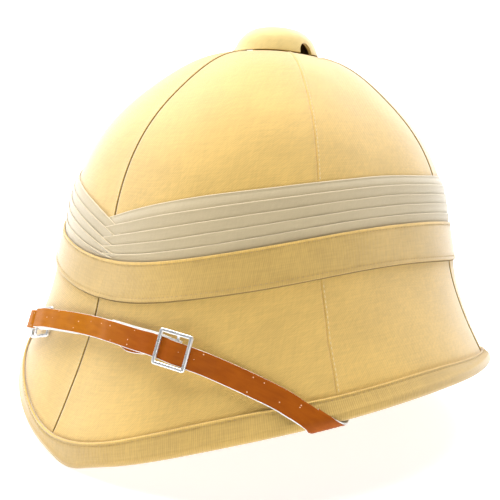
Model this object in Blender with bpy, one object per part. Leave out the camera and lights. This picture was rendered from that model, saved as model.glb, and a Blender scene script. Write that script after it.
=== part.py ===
"""Sun helmet of cloth-covered pith, standing on its brim.

Metres, +Z up, floor at z = 0. The front centre faces -Y and the wearer's left is +X.
Everything is laid out on the helmet's own skin: an angle round the head, a distance from the
brim's edge up the wall, and a height off the wall. Tables are in millimetres and degrees.
"""
import bmesh
import bpy
import numpy as np
from math import cos, pi, radians, sin

MM = 0.001
GAP = 0.3                 # clearance between pieces that touch
ROUND_STEPS = 64          # facets round the helmet
SIDES = {"left": 1, "right": -1}   # the wearer's left is +X

# --- the moulded wall -------------------------------------------------------------------
WALL = 4.5                # pith and its cloth cover
STATIONS = (0, 30, 60, 90, 120, 150, 180)    # degrees from the front centre, both ways
HEIGHTS = {               # height above the floor at each station
    "edge": (0.3, 19.3, 41.2, 50.2, 49.2, 27.6, -2.4),
    "binding": (12.6, 34.0, 54.2, 62.0, 58.2, 39.5, 13.5),
    "band_foot": (87.4, 96.9, 110.7, 115.3, 113.1, 106.8, 102.9),
    "band_head": (109.2, 117.9, 131.4, 136.6, 136.3, 130.0, 125.8),
}
FRONT_POINT = {           # the brim's slight point in front: angle, half width, drop
    "edge": (3.5, 6.5, 3.4),
    "binding": (-8.0, 13.0, 2.1),
}
PLANS = {                 # reach to front, side and back, then how square each half is
    "edge": (149.7, 146.3, 161.0, 2.18, 2.12),
    "binding": (148.6, 140.2, 157.5, 2.18, 2.12),
    "crown": (119.6, 109.5, 131.4, 2.77, 2.29),
}
FLARE_POWER = 1.4         # how late the skirt turns out towards the brim
FLARE_ROWS = 7
LIP_ROWS = 2
BAND_REACH = 22.0         # the wall leans out over this distance down to the band's foot
BAND_LEAN = (5.2, 2.0, 0.0)   # by this much at the foot, middle and head of the band
CROWN_BASE = 111.1        # the crown narrows above this height
DOME_TOP = 234.0          # middle of the wall at the very top
DOME_FULLNESS = (0.988, 0.993, 1.003, 1.0035, 1.014, 1.022, 1.0)  # every 15 degrees up the dome
DOME_ROWS = 10
APEX_BACK = 3.6           # the top lies behind the centre of the plan
VENT_HOLE = 9.0           # radius of the air hole under the button

ORIGIN = (0.0, 5.55, -1.85)  # the middle of the brim's footprint, at the pressed-flat edge

# --- cloth on the wall --------------------------------------------------------------------
BINDING_CLOTH = 1.0
FLOOR_FLAT = 0.7          # the edge is pressed flat where it is this near the floor
BINDING_BEAD = 0.5        # the folded upper edge stands this much prouder
BEAD_HALF = 0.8
BAND_CLOTH = 1.2
FOLD_CLOTH = 0.8
FOLD_COUNT = 5
FOLD_LIFT = 1.5           # height of a fold's free upper edge above the wall
FOLD_TUCK = 0.17          # share of a fold that tucks under the one below
FOLD_TOP = 164.0          # height of the pleats' upper edge at the sides
CROSSING = 1.5            # angle where the folds cross at the front
CROSSING_GAP = 0.15
CROSSING_HEIGHTS = {      # side: heights there of the edges above the band, top one first
    1: (134.3, 128.6, 122.7, 117.5, 112.9),
    -1: (129.0, 123.7, 117.6, 113.4, 110.9),
}
CROSSING_FADE = {         # side: angle over which each of them rises to its line at the sides
    1: (99.0, 99.0, 99.0, 99.0, 99.0),
    -1: (82.0, 77.0, 66.0, 58.0, 60.0),
}
FOLD_BACK_DIP = (12.0, 115.0)          # dip at the back, angle where it starts

# --- the button on top --------------------------------------------------------------------
BUTTON_ROWS = (           # radius, height above the button's foot
    (27.4, 0.0), (26.7, 2.2), (25.6, 5.0), (22.6, 10.3), (15.4, 15.5), (8.0, 17.2),
)
BUTTON_TOP = 17.6
BUTTON_REST = 5.0         # below this the button's foot follows the crown
BUTTON_WALL = 2.0
BUTTON_STEPS = 40
BUTTON_VENT = (5.2, 7.0)  # half width and height of the arch on each side

# --- chin strap -----------------------------------------------------------------------------
STRAP_WIDTH = 11.6
LEATHER = 1.2
STRAP_OFF = 2.0           # the strap's inner face runs this high over the wall, plus a gap
STRAP_ROUTE = (
    # angle, distance up the skirt from the edge's underside (negative inside)
    (-80.0, -58.0), (-71.0, -33.0), (-62.0, -12.0), (-56.5, 0.0), (-52.0, 8.4),
    (-45.0, 20.6), (-35.0, 39.0), (-26.3, 53.6), (-14.9, 69.4), (-0.8, 79.1),
    (9.8, 77.4), (18.0, 71.0), (27.5, 60.0), (33.0, 52.1), (40.4, 40.4), (45.5, 31.7),
    (51.7, 20.2), (55.6, 11.2), (59.8, 0.6), (65.0, -13.0), (72.0, -32.0), (81.0, -58.0),
)
SLIDE_ANGLE = {"left": 28.6, "right": -24.8}
SLIDE_ASIDE = {"left": 1.1, "right": -1.2}   # each hangs on one edge of the strap
SLIDE_LENGTH = 19.8
SLIDE_BAR = 2.0
SLIDE_BAR_HEIGHT = 1.2
CENTRE_BAR_HEIGHT = 1.0
CENTRE_BAR_WIDTH = 1.6
SLIDE_ROOM = 1.7          # play between the strap's edges and the rails
SLIDE_FLAT = 10.4         # the straps lie flat this far each side of a slide's middle
SLIDE_EASE = 12.0         # and follow the wall again this much further on
STACK = 6.4               # height of the straps and bars where they cross a slide
LAYERS = {"low": 0.9, "mid": 2.4, "under_bar": 3.9, "over_centre": 5.3}
LOOP_RADIUS = 1.45        # the strap's end turns round the centre bar at this radius
LOOP_SHIFT = 0.4          # and this far off the bar's middle
TAIL = 20.0               # the folded-back end reaches this far from the centre bar
KEEPER_BAR = 4.0          # the keeper that holds each strap end inside the brim
KEEPER_HEIGHT = 1.4
KEEPER_INSET = 9.0


def through_stations(angle, values):
    """A smooth curve through values at equal steps from 0 to 180 degrees, alike both ways."""
    steps = np.radians(np.linspace(0.0, 180.0, len(values)))
    orders = np.arange(len(values))
    weights = np.linalg.solve(np.cos(np.outer(steps, orders)), np.array(values, float))
    return np.cos(np.multiply.outer(np.radians(angle), orders)) @ weights


def point_drop(name, angle):
    """How far the brim's slight point lowers a level line at an angle."""
    middle, half_width, drop = FRONT_POINT.get(name, (0.0, 1.0, 0.0))
    away = (angle - middle + 180.0) % 360.0 - 180.0
    return drop * np.exp(-(away / half_width) ** 2)


def height_of(name, angle):
    """Height of one of the helmet's level lines, with the brim's slight point in front."""
    return through_stations(angle, HEIGHTS[name]) - point_drop(name, angle)


def plan_reach(angle, name):
    """Distance from the axis to a plan outline at an angle from the front."""
    front, side, back, front_power, back_power = PLANS[name]
    turn = np.radians(angle)
    ahead, across = np.cos(turn), np.abs(np.sin(turn))
    power = np.where(ahead >= 0, front_power, back_power)
    length = np.where(ahead >= 0, front, back)
    return ((np.abs(ahead) / length) ** power + (across / side) ** power) ** (-1 / power)


def dome_profile():
    """Lift angles up the dome with the share of the crown's reach and the height at each."""
    lift = np.linspace(0.0, 90.0, 181)
    full = through_stations(2 * lift, DOME_FULLNESS)
    share = full * np.cos(np.radians(lift))
    height = CROWN_BASE + (DOME_TOP - CROWN_BASE) * full * np.sin(np.radians(lift))
    return lift, share, height


def wall_middle(angle):
    """The middle of the wall at one angle, as (radius, height), from the edge to the hole."""
    half = WALL / 2
    over = half + GAP + BINDING_CLOTH
    edge = np.array([plan_reach(angle, "edge") - over, height_of("edge", angle) + over])
    face = np.array([plan_reach(angle, "binding"), height_of("binding", angle)]) - edge
    reach = np.sqrt(face @ face - over * over)
    slope = (reach * face - over * np.array([face[1], -face[0]])) / (face @ face)
    edge_r, edge_z = edge
    bind_r, bind_z = edge + reach * slope
    crown_r = plan_reach(angle, "crown") - half
    foot_z = height_of("band_foot", angle)
    lift, share, dome_z = dome_profile()
    band_z = foot_z + np.array([0.0, 0.5, 1.0]) * BAND_REACH
    stop = np.interp(-VENT_HOLE / crown_r, -share, lift)
    start = np.interp(band_z[-1], dome_z, lift)
    lifts = np.linspace(start, stop, DOME_ROWS)
    lip = np.linspace(0.0, 1.0, LIP_ROWS + 1)[:-1]
    flare = np.linspace(1.0, 0.0, FLARE_ROWS + 1)
    crown_foot = crown_r * np.interp(foot_z, dome_z, share) + BAND_LEAN[0]
    radius = np.concatenate([
        edge_r + (bind_r - edge_r) * lip,
        crown_foot + (bind_r - crown_foot) * flare ** FLARE_POWER,
        crown_r * np.interp(band_z[1:2], dome_z, share) + BAND_LEAN[1],
        crown_r * np.interp(lifts, lift, share),
    ])
    height = np.concatenate([
        edge_z + (bind_z - edge_z) * lip,
        foot_z + (bind_z - foot_z) * flare,
        band_z[1:2],
        np.maximum(np.interp(lifts, lift, dome_z), band_z[-1]),
    ])
    return np.stack([radius, height], 1)


class Section:
    """The wall at one angle: points at a distance from the edge and a height off the wall."""

    def __init__(self, angle):
        self.angle = angle
        rows = wall_middle(angle)
        length = np.concatenate([[0], np.cumsum(np.linalg.norm(np.diff(rows, axis=0), axis=1))])
        self.length = length
        self.rows = rows
        slope = np.gradient(rows, length, axis=0)
        slope /= np.linalg.norm(slope, axis=1)[:, None]
        self.normal = np.stack([slope[:, 1], -slope[:, 0]], 1)

    def at(self, up, off, inside=False):
        """A point `up` millimetres above the edge and `off` the outer or inner face."""
        middle = [np.interp(up, self.length, self.rows[:, i]) for i in (0, 1)]
        normal = np.array([np.interp(up, self.length, self.normal[:, i]) for i in (0, 1)])
        normal /= np.linalg.norm(normal)
        reach = (WALL / 2 + off) * (-1 if inside else 1)
        return np.array(middle) + normal * reach

    def round_edge(self, turn, off):
        """A point on the half round under the edge; turn is 90 outside and -90 inside."""
        normal = self.normal[0]
        down = np.array([normal[1], -normal[0]])
        reach = WALL / 2 + off
        return self.rows[0] + reach * (normal * sin(radians(turn)) + down * cos(radians(turn)))

    def up_at_height(self, height):
        """Distance from the edge at which the middle of the wall has a height."""
        return np.interp(height, self.rows[:, 1], self.length)

    def place(self, point):
        """A (radius, height) point as x, y, z in millimetres."""
        radius, height = point
        turn = radians(self.angle)
        back = APEX_BACK * min(1.0, max(0.0, (height - CROWN_BASE) / (DOME_TOP - CROWN_BASE)))
        return np.array([radius * sin(turn), -radius * cos(turn) + back, height])


def around():
    """Angles of the facets' corners; one facet straddles the middle of the back."""
    step = 360.0 / ROUND_STEPS
    even = np.arange(ROUND_STEPS) * step
    return even + step / 4 * (1 - np.cos(np.radians(even)))


def add_object(name, points, faces, material, smooth_angle=40.0):
    """A mesh object from points in millimetres and faces of point numbers."""
    work = bmesh.new()
    corners = [work.verts.new((np.asarray(point, float) - ORIGIN) * MM) for point in points]
    for face in faces:
        work.faces.new([corners[i] for i in face])
    bmesh.ops.recalc_face_normals(work, faces=work.faces)
    mesh = bpy.data.meshes.new(name)
    work.to_mesh(mesh)
    work.free()
    mesh.materials.append(material)
    mesh.shade_smooth()
    mesh.set_sharp_from_angle(angle=radians(smooth_angle))
    item = bpy.data.objects.new(name, mesh)
    bpy.context.collection.objects.link(item)
    return item


def loft(name, rings, material, closed=True):
    """One closed body through rings of equal point counts, joined end to end or capped."""
    count = len(rings[0])
    points = [point for ring in rings for point in ring]
    faces = []
    spans = len(rings) if closed else len(rings) - 1
    for i in range(spans):
        here, there = i * count, (i + 1) % len(rings) * count
        for j in range(count):
            k = (j + 1) % count
            faces.append((here + j, there + j, there + k, here + k))
    if not closed:
        last = (len(rings) - 1) * count
        faces.append(tuple(range(count)))
        faces.append(tuple(last + j for j in reversed(range(count))))
    return add_object(name, points, faces, material)


def make_material(name, color, roughness, metallic=0.0):
    """A plain Principled material."""
    material = bpy.data.materials.new(name)
    material.use_nodes = True
    shader = material.node_tree.nodes["Principled BSDF"]
    shader.inputs["Base Color"].default_value = (*color, 1.0)
    shader.inputs["Roughness"].default_value = roughness
    shader.inputs["Metallic"].default_value = metallic
    material.diffuse_color = (*color, 1.0)
    return material


# --- shell, binding, band and folds ---------------------------------------------------------

EDGE_TURNS = (60.0, 20.0, -20.0, -60.0)


def build_shell(material):
    """Crown and brim in one moulded wall, open below, with an air hole at the top."""
    rings = []
    for angle in around():
        section = Section(angle)
        outer = [section.at(up, 0.0) for up in section.length[::-1]]
        edge = [section.round_edge(turn, 0.0) for turn in EDGE_TURNS]
        ups = section.length
        rows = [*ups[:LIP_ROWS], *ups[LIP_ROWS:-1:2], ups[-1]]
        inner = [section.at(up, 0.0, inside=True) for up in rows]
        rings.append([section.place(p) for p in outer + edge + inner])
    return loft("shell", rings, material)


def pressed_flat(point):
    """A point of the binding, on the floor where it is near it."""
    x, y, z = point
    return np.array([x, y, z if z > ORIGIN[2] + FLOOR_FLAT else ORIGIN[2]])


def build_binding(material):
    """The cloth strip folded over the brim's edge, with a bead along its upper edge."""
    rings = []
    top = GAP + BINDING_CLOTH
    for angle in around():
        section = Section(angle)
        head = section.length[LIP_ROWS]
        outer = [
            section.at(head + BEAD_HALF, GAP + 0.1),
            section.at(head + BEAD_HALF, top + BINDING_BEAD),
            section.at(head, top + BINDING_BEAD + 0.1),
            section.at(head - BEAD_HALF, top + BINDING_BEAD),
            section.at(head - 2 * BEAD_HALF, top),
            section.at(0.0, top),
        ]
        outer += [section.round_edge(turn, top) for turn in EDGE_TURNS]
        outer += [section.at(up, top, inside=True) for up in (0.0, section.length[1], head)]
        inner = [section.at(up, GAP, inside=True) for up in (head, section.length[1], 0.0)]
        inner += [section.round_edge(turn, GAP) for turn in reversed(EDGE_TURNS)]
        inner += [section.at(up, GAP) for up in (0.0, section.length[1], head)]
        ring = [section.place(p) for p in outer + inner]
        rings.append([pressed_flat(point) for point in ring])
    return loft("brim_binding", rings, material)


def build_band(material):
    """The plain band over the foot of the folds."""
    rings = []
    for angle in around():
        section = Section(angle)
        foot = section.up_at_height(height_of("band_foot", angle))
        head = section.up_at_height(height_of("band_head", angle))
        levels = ((foot, GAP + 0.1), ((foot + head) / 2, FOLD_LIFT / 2), (head, FOLD_LIFT))
        ring = [section.at(up, off) for up, off in levels]
        ring += [section.at(up, off + BAND_CLOTH) for up, off in reversed(levels)]
        rings.append([section.place(p) for p in ring])
    return loft("hat_band", rings, material)


def fold_line(angle, number, side):
    """Height of the upper edge of a fold; number 0 is the top one and 5 the band's edge."""
    share = number / FOLD_COUNT
    foot = height_of("band_head", angle)
    if number == FOLD_COUNT:
        return foot
    foot_there = height_of("band_head", CROSSING)
    level_there = FOLD_TOP + (foot_there - FOLD_TOP) * share
    drop = level_there - CROSSING_HEIGHTS[side][number]
    away = min(1.0, abs(angle - CROSSING) / CROSSING_FADE[side][number])
    back_dip, back_from = FOLD_BACK_DIP
    back = max(0.0, abs(angle) - back_from) / (180.0 - back_from)
    top = FOLD_TOP - back_dip * back * back
    return top + (foot - top) * share - drop * (1 - away) ** 2


def build_fold(number, material):
    """One fold of the pleated scarf: a strip from the crossing round the back and home."""
    start, stop = CROSSING + CROSSING_GAP, 360.0 + CROSSING - CROSSING_GAP
    steps = [start] + [a for a in (*around(), 360.0) if start < a < stop] + [stop]
    rings = []
    for turn in steps:
        side = 1 if turn <= 180.0 else -1
        angle = turn if side > 0 else turn - 360.0
        section = Section(angle)
        foot = section.up_at_height(fold_line(angle, number + 1, side))
        head = section.up_at_height(fold_line(angle, number, side))
        foot -= FOLD_TUCK * (head - foot)
        ring = [
            section.at(foot, GAP),
            section.at(head, FOLD_LIFT),
            section.at(head, FOLD_LIFT + FOLD_CLOTH),
            section.at(foot, GAP + FOLD_CLOTH),
        ]
        rings.append([section.place(p) for p in ring])
    return loft(f"pugaree_fold_{number + 1}", rings, material, closed=False)


# --- ventilator button ----------------------------------------------------------------------

def crown_height(x, y):
    """Height of the crown's outer face over a point near the top."""
    angle = np.degrees(np.arctan2(x, -(y - APEX_BACK)))
    section = Section(angle)
    face = np.array([section.at(up, 0.0) for up in section.length])
    order = np.argsort(face[:, 0])
    return float(np.interp(np.hypot(x, y - APEX_BACK), face[order, 0], face[order, 1]))


def build_button(material):
    """A hollow domed button on the crown with an arched vent on each side."""
    outer = list(BUTTON_ROWS)
    inner = [(r - BUTTON_WALL, max(z - 0.5 * BUTTON_WALL, 0.0)) for r, z in BUTTON_ROWS]
    turns = [2 * pi * step / BUTTON_STEPS for step in range(BUTTON_STEPS)]
    base = crown_height(BUTTON_ROWS[0][0], APEX_BACK) + GAP
    points = []
    for radius, height in outer + inner:
        for turn in turns:
            x, y = radius * sin(turn), APEX_BACK - radius * cos(turn)
            rest = crown_height(x, y) + GAP - base if height < BUTTON_REST else 0.0
            points.append((x, y, base + height + rest * (1 - height / BUTTON_REST)))
    top = len(points)
    points += [(0, APEX_BACK, base + BUTTON_TOP), (0, APEX_BACK, base + BUTTON_TOP - BUTTON_WALL)]
    rows = len(outer)
    faces = []
    for j in range(BUTTON_STEPS):
        k = (j + 1) % BUTTON_STEPS
        for i in range(rows - 1):
            low, high = i * BUTTON_STEPS, (i + 1) * BUTTON_STEPS
            faces.append((low + j, low + k, high + k, high + j))
            low, high = low + rows * BUTTON_STEPS, high + rows * BUTTON_STEPS
            faces.append((low + k, low + j, high + j, high + k))
        last_out, last_in = (rows - 1) * BUTTON_STEPS, (2 * rows - 1) * BUTTON_STEPS
        faces.append((last_out + j, last_out + k, top))
        faces.append((last_in + k, last_in + j, top + 1))
        faces.append((k, j, rows * BUTTON_STEPS + j, rows * BUTTON_STEPS + k))
    button = add_object("ventilator_button", points, faces, material)
    half_width, height = BUTTON_VENT
    for side, sign in SIDES.items():
        arch = [(half_width * cos(t), height * sin(t)) for t in np.linspace(0, pi, 13)]
        arch += [(-half_width, -6.0), (half_width, -6.0)]
        near, far = sign * 18.0, sign * 34.0
        rings = [[(x, APEX_BACK + y, base + z) for y, z in arch] for x in sorted((near, far))]
        cutter = loft(f"vent_cutter_{side}", rings, material, closed=False)
        cut_with(button, cutter)
    return button


def cut_with(item, cutter):
    """Take the cutter's shape out of an object."""
    cutter.hide_render = True
    cutter.display_type = "WIRE"
    modifier = item.modifiers.new(cutter.name, "BOOLEAN")
    modifier.operation = "DIFFERENCE"
    modifier.object = cutter


# --- chin strap -------------------------------------------------------------------------------

def spline(x, table):
    """A smooth curve through a table of (x, y) rows."""
    xs, ys = np.array(table, float).T
    slope = np.gradient(ys, xs)
    i = np.clip(np.searchsorted(xs, x) - 1, 0, len(xs) - 2)
    span = xs[i + 1] - xs[i]
    t = (x - xs[i]) / span
    return ((1 + 2 * t) * (1 - t) ** 2 * ys[i] + t * (1 - t) ** 2 * span * slope[i]
            + t * t * (3 - 2 * t) * ys[i + 1] + t * t * (t - 1) * span * slope[i + 1])


EDGE_HALF = pi / 2 * (WALL / 2 + STRAP_OFF + GAP + LEATHER / 2)   # half the way round the edge


def skin(angle, along, off):
    """A point on the strap's ground: `along` from the edge's underside, `off` above it."""
    section = Section(angle)
    off = off + STRAP_OFF
    if along > EDGE_HALF:
        up = along - EDGE_HALF + point_drop("edge", angle)
        return section.place(section.at(up, off))
    if along < -EDGE_HALF:
        return section.place(section.at(-along - EDGE_HALF, off, inside=True))
    return section.place(section.round_edge(90.0 * along / EDGE_HALF, off))


class Route:
    """The strap's centre line on the skin, measured by its own length."""

    def __init__(self):
        angles = np.linspace(STRAP_ROUTE[0][0], STRAP_ROUTE[-1][0], 331)
        alongs = np.array([spline(a, STRAP_ROUTE) for a in angles])
        points = np.array([skin(a, d, 0.0) for a, d in zip(angles, alongs)])
        steps = np.linalg.norm(np.diff(points, axis=0), axis=1)
        self.angles = angles
        self.alongs = alongs
        self.length = np.concatenate([[0], np.cumsum(steps)])
        self.flats = []
        self.slides = {side: self.length_at(angle) for side, angle in SLIDE_ANGLE.items()}
        self.flats = [(length, self.frame(length)) for length in self.slides.values()]

    def end(self):
        return float(self.length[-1])

    def length_at(self, angle):
        return float(np.interp(angle, self.angles, self.length))

    def length_at_edge(self, side):
        """Where the strap passes under the brim's edge on one side."""
        pick = self.angles * side > 30.0
        nearest = np.argmin(np.where(pick, np.abs(self.alongs), 1e9))
        return float(self.length[nearest])

    def centre(self, length):
        return (np.interp(length, self.length, self.angles),
                np.interp(length, self.length, self.alongs))

    def across(self, length):
        """Steps in angle and along that move one millimetre across the strap."""
        small = 0.5
        a, d = self.centre(length)
        a0, d0 = self.centre(length - small)
        a1, d1 = self.centre(length + small)
        origin = skin(a, d, 0.0)
        per_angle = (skin(a + 0.2, d, 0.0) - origin) / 0.2
        per_along = (skin(a, d + 0.3, 0.0) - origin) / 0.3
        ahead = per_angle * (a1 - a0) + per_along * (d1 - d0)
        e, f, g = per_angle @ per_angle, per_angle @ per_along, per_along @ per_along
        step = np.array([-(ahead @ per_along), ahead @ per_angle])
        size = np.sqrt(e * step[0] ** 2 + 2 * f * step[0] * step[1] + g * step[1] ** 2)
        return step / size

    def place(self, length, side, off):
        """The point at a length, a distance to one side and a height off the ground."""
        a, d = self.centre(length)
        step_a, step_d = self.across(length)
        point = skin(a + side * step_a, d + side * step_d, off)
        for slide, (origin, ahead, across, out) in self.flats:
            share = np.clip((abs(length - slide) - SLIDE_FLAT) / SLIDE_EASE, 0.0, 1.0)
            share = share * share * (3 - 2 * share)
            flat = origin + (length - slide) * ahead + side * across + off * out
            point = flat * (1 - share) + point * share
        return point

    def frame(self, length):
        """Origin and unit axes along, across and off the strap."""
        origin = self.place(length, 0.0, 0.0)
        ahead = self.place(length + 2.0, 0.0, 0.0) - self.place(length - 2.0, 0.0, 0.0)
        across = self.place(length, 2.0, 0.0) - self.place(length, -2.0, 0.0)
        ahead /= np.linalg.norm(ahead)
        across -= ahead * (ahead @ across)
        across /= np.linalg.norm(across)
        return origin, ahead, across, np.cross(ahead, across)


ACROSS = (-0.5, -0.3, -0.1, 0.1, 0.3, 0.5)      # shares of the width at which the strap has points


def smooth_level(length, table):
    """Height of a strap layer: flat at each row, eased between rows."""
    xs, ys = np.array(table, float).T
    i = int(np.clip(np.searchsorted(xs, length) - 1, 0, len(xs) - 2))
    t = np.clip((length - xs[i]) / (xs[i + 1] - xs[i]), 0.0, 1.0)
    return float(ys[i] + (ys[i + 1] - ys[i]) * t * t * (3 - 2 * t))


def strap_lengths(start, stop, edge, slides):
    """Places along a strap: close together round the edge and in the slides."""
    places = [start]
    while places[-1] < stop:
        here = places[-1]
        near_edge = abs(here - edge) < 30.0
        near_slide = any(abs(here - slide) < 12.0 for slide in slides)
        places.append(here + (2.0 if near_edge else 1.6 if near_slide else 7.0))
    return np.append(places[:-1], stop)


def ribbon(name, route, path, material):
    """A leather strip along a path of (length, height) points."""
    path = np.array(path)
    slope = np.gradient(path, axis=0)
    slope /= np.linalg.norm(slope, axis=1)[:, None]
    normal = np.stack([-slope[:, 1], slope[:, 0]], 1) * LEATHER / 2
    rings = []
    for middle, out in zip(path, normal):
        upper = [route.place(*insert_side(middle + out, share)) for share in ACROSS]
        lower = [route.place(*insert_side(middle - out, share)) for share in reversed(ACROSS)]
        rings.append(upper + lower)
    return loft(name, rings, material, closed=False)


def insert_side(point, share):
    """(length, side, height) from a (length, height) point and a share of the width."""
    return point[0], share * STRAP_WIDTH, point[1]


def loop_points(centre_length, centre_height, direction, upward):
    """The half turn round a slide's centre bar, as (length, height) points."""
    turns = np.linspace(-90.0, 90.0, 9) * upward
    return [(centre_length + direction * (LOOP_SHIFT + LOOP_RADIUS * cos(radians(t))),
             centre_height + LOOP_RADIUS * sin(radians(t))) for t in turns]


def inner_strap_path(route, slide_in, slide_out):
    """The strap from the wearer's right: through that slide, then looped in the left one."""
    low, mid = LAYERS["low"], LAYERS["mid"]
    table = (
        (0.0, low), (slide_out - 24.0, low), (slide_out - 9.0, STACK - LAYERS["under_bar"]),
        (slide_out - 6.2, STACK - LAYERS["under_bar"]),
        (slide_out - 1.2, STACK - LAYERS["over_centre"]),
        (slide_out + 1.2, STACK - LAYERS["over_centre"]),
        (slide_out + 6.2, STACK - LAYERS["under_bar"]), (slide_out + 22.0, 2.5),
        (slide_out + 36.0, low), (slide_in, low),
    )
    edge = route.length_at_edge(-1)
    places = strap_lengths(0.0, slide_in - 0.1, edge, (slide_out, slide_in))
    path = [(x, smooth_level(x, table)) for x in places]
    centre = low + LOOP_RADIUS
    path += loop_points(slide_in, centre, 1, 1)[1:]
    upper = centre + LOOP_RADIUS
    tail = ((slide_in - TAIL, mid), (slide_in - 6.2, mid), (slide_in - 1.0, upper),
            (slide_in, upper))
    ends = list(np.arange(slide_in - 1.2, slide_in - 8.0, -1.4))
    ends += list(np.linspace(slide_in - 10.0, slide_in - TAIL, 3))
    return path + [(x, smooth_level(x, tail)) for x in ends]


def outer_strap_path(route, slide_in, slide_out):
    """The strap from the wearer's left: through that slide, then looped in the right one."""
    low, mid, under = LAYERS["low"], LAYERS["mid"], LAYERS["under_bar"]
    high = STACK - low
    table = (
        (slide_out, high), (slide_out + TAIL + 4.0, high), (slide_out + 38.0, mid),
        (slide_in - TAIL - 14.0, mid), (slide_in - TAIL, under), (slide_in - 6.2, under),
        (slide_in - 1.2, LAYERS["over_centre"]), (slide_in + 1.2, LAYERS["over_centre"]),
        (slide_in + 6.2, under), (slide_in + 9.0, under), (slide_in + 26.0, low),
        (route.end(), low),
    )
    edge = route.length_at_edge(1)
    places = strap_lengths(slide_out + 0.1, route.end(), edge, (slide_out, slide_in))[::-1]
    path = [(x, smooth_level(x, table)) for x in places]
    centre = high - LOOP_RADIUS
    path += loop_points(slide_out, centre, -1, -1)[1:]
    lower = centre - LOOP_RADIUS
    tail = ((slide_out, lower), (slide_out + 1.0, lower), (slide_out + 6.2, STACK - mid),
            (slide_out + TAIL, STACK - mid))
    ends = list(np.arange(slide_out + 1.2, slide_out + 8.0, 1.4))
    ends += list(np.linspace(slide_out + 10.0, slide_out + TAIL, 3))
    return path + [(x, smooth_level(x, tail)) for x in ends]


def cell_solid(xs, ys, zs, filled):
    """Points and faces of a solid made of the filled boxes between three lists of cuts."""
    number = {}
    faces = []
    cuts = (xs, ys, zs)
    sizes = [len(cut) - 1 for cut in cuts]

    def corner(spot):
        return number.setdefault(spot, len(number))

    for cell in np.ndindex(*sizes):
        if not filled(*cell):
            continue
        for axis in range(3):
            u, v = (axis + 1) % 3, (axis + 2) % 3
            for step in (0, 1):
                beside = list(cell)
                beside[axis] += 2 * step - 1
                if 0 <= beside[axis] < sizes[axis] and filled(*beside):
                    continue
                face = []
                for du, dv in ((0, 0), (1, 0), (1, 1), (0, 1)):
                    spot = list(cell)
                    spot[axis] += step
                    spot[u] += du
                    spot[v] += dv
                    face.append(corner(tuple(spot)))
                faces.append(face)
    points = [tuple(cut[i] for cut, i in zip(cuts, spot)) for spot in number]
    return points, faces


def build_slide(name, route, length, aside, flipped, material):
    """A three-bar slide: two rails, end bars over the strap and a centre bar in its loop."""
    half_in = STRAP_WIDTH / 2 + SLIDE_ROOM
    half_out = half_in + SLIDE_BAR
    half_long = SLIDE_LENGTH / 2
    half_bar = CENTRE_BAR_WIDTH / 2
    low = LAYERS["low"] + LOOP_RADIUS - CENTRE_BAR_HEIGHT / 2
    top = LAYERS["under_bar"] + LEATHER / 2 + GAP + SLIDE_BAR_HEIGHT
    long_cuts = (-half_long, -half_long + SLIDE_BAR, -half_bar, half_bar,
                 half_long - SLIDE_BAR, half_long)
    side_cuts = (-half_out, -half_in, half_in, half_out)
    high_cuts = (low, low + CENTRE_BAR_HEIGHT, top - SLIDE_BAR_HEIGHT, top)

    def filled(i, j, k):
        rail = j != 1
        end_bar = i in (0, 4) and k == 2
        centre_bar = i == 2 and k == 0
        return rail or end_bar or centre_bar

    corners, faces = cell_solid(long_cuts, side_cuts, high_cuts, filled)
    origin, ahead, across, out = route.frame(length)
    points = []
    for x, y, z in corners:
        height = STACK - z if flipped else z
        points.append(origin + x * ahead + (y + aside) * across + height * out)
    item = add_object(name, points, faces, material)
    bevel = item.modifiers.new("edges", "BEVEL")
    bevel.width = 0.3 * MM
    bevel.segments = 2
    bevel.limit_method = "ANGLE"
    return item


def build_keeper(name, route, length, material):
    """A plain metal bridge that holds a strap end against the inside of the brim."""
    half_in = STRAP_WIDTH / 2 + SLIDE_ROOM
    half_out = half_in + SLIDE_BAR
    foot = GAP - STRAP_OFF
    under = LAYERS["low"] + LEATHER / 2 + GAP + 0.1
    outline = [(-half_out, foot), (-half_in, foot), (-half_in, under), (half_in, under),
               (half_in, foot), (half_out, foot), (half_out, under + KEEPER_HEIGHT),
               (-half_out, under + KEEPER_HEIGHT)]
    rings = [[route.place(length + x, side, height) for side, height in outline]
             for x in (-KEEPER_BAR / 2, KEEPER_BAR / 2)]
    return loft(name, rings, material, closed=False)


def build():
    """The whole helmet."""
    khaki = make_material("khaki_cloth", (0.62, 0.45, 0.24), 0.9)
    grey = make_material("pugaree_cloth", (0.58, 0.53, 0.44), 0.85)
    leather = make_material("strap_leather", (0.45, 0.17, 0.04), 0.5)
    nickel = make_material("slide_nickel", (0.75, 0.75, 0.74), 0.2, 1.0)
    build_shell(khaki)
    build_binding(khaki)
    build_band(khaki)
    for number in range(FOLD_COUNT):
        build_fold(number, grey)
    build_button(khaki)
    route = Route()
    slide_left, slide_right = route.slides["left"], route.slides["right"]
    ribbon("chin_strap_inner", route, inner_strap_path(route, slide_left, slide_right), leather)
    ribbon("chin_strap_outer", route, outer_strap_path(route, slide_left, slide_right), leather)
    build_slide("slide_left", route, slide_left, SLIDE_ASIDE["left"], False, nickel)
    build_slide("slide_right", route, slide_right, SLIDE_ASIDE["right"], True, nickel)
    build_keeper("strap_keeper_right", route, KEEPER_INSET, nickel)
    build_keeper("strap_keeper_left", route, route.end() - KEEPER_INSET, nickel)


for old in list(bpy.data.objects):
    bpy.data.objects.remove(old, do_unlink=True)
build()
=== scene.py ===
"""Looks of a sun helmet of cloth-covered pith: cloth, pleats, stitching, leather and nickel.

Shapes are laid out in millimetres on the helmet's skin, as an angle round the head, a distance
up the wall from the brim's edge and a height off the wall, then placed in the frame in metres.
"""
from math import copysign, cos, pi, radians, sin

import bmesh
import bpy
import numpy as np
from mathutils import Matrix, Vector


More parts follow.
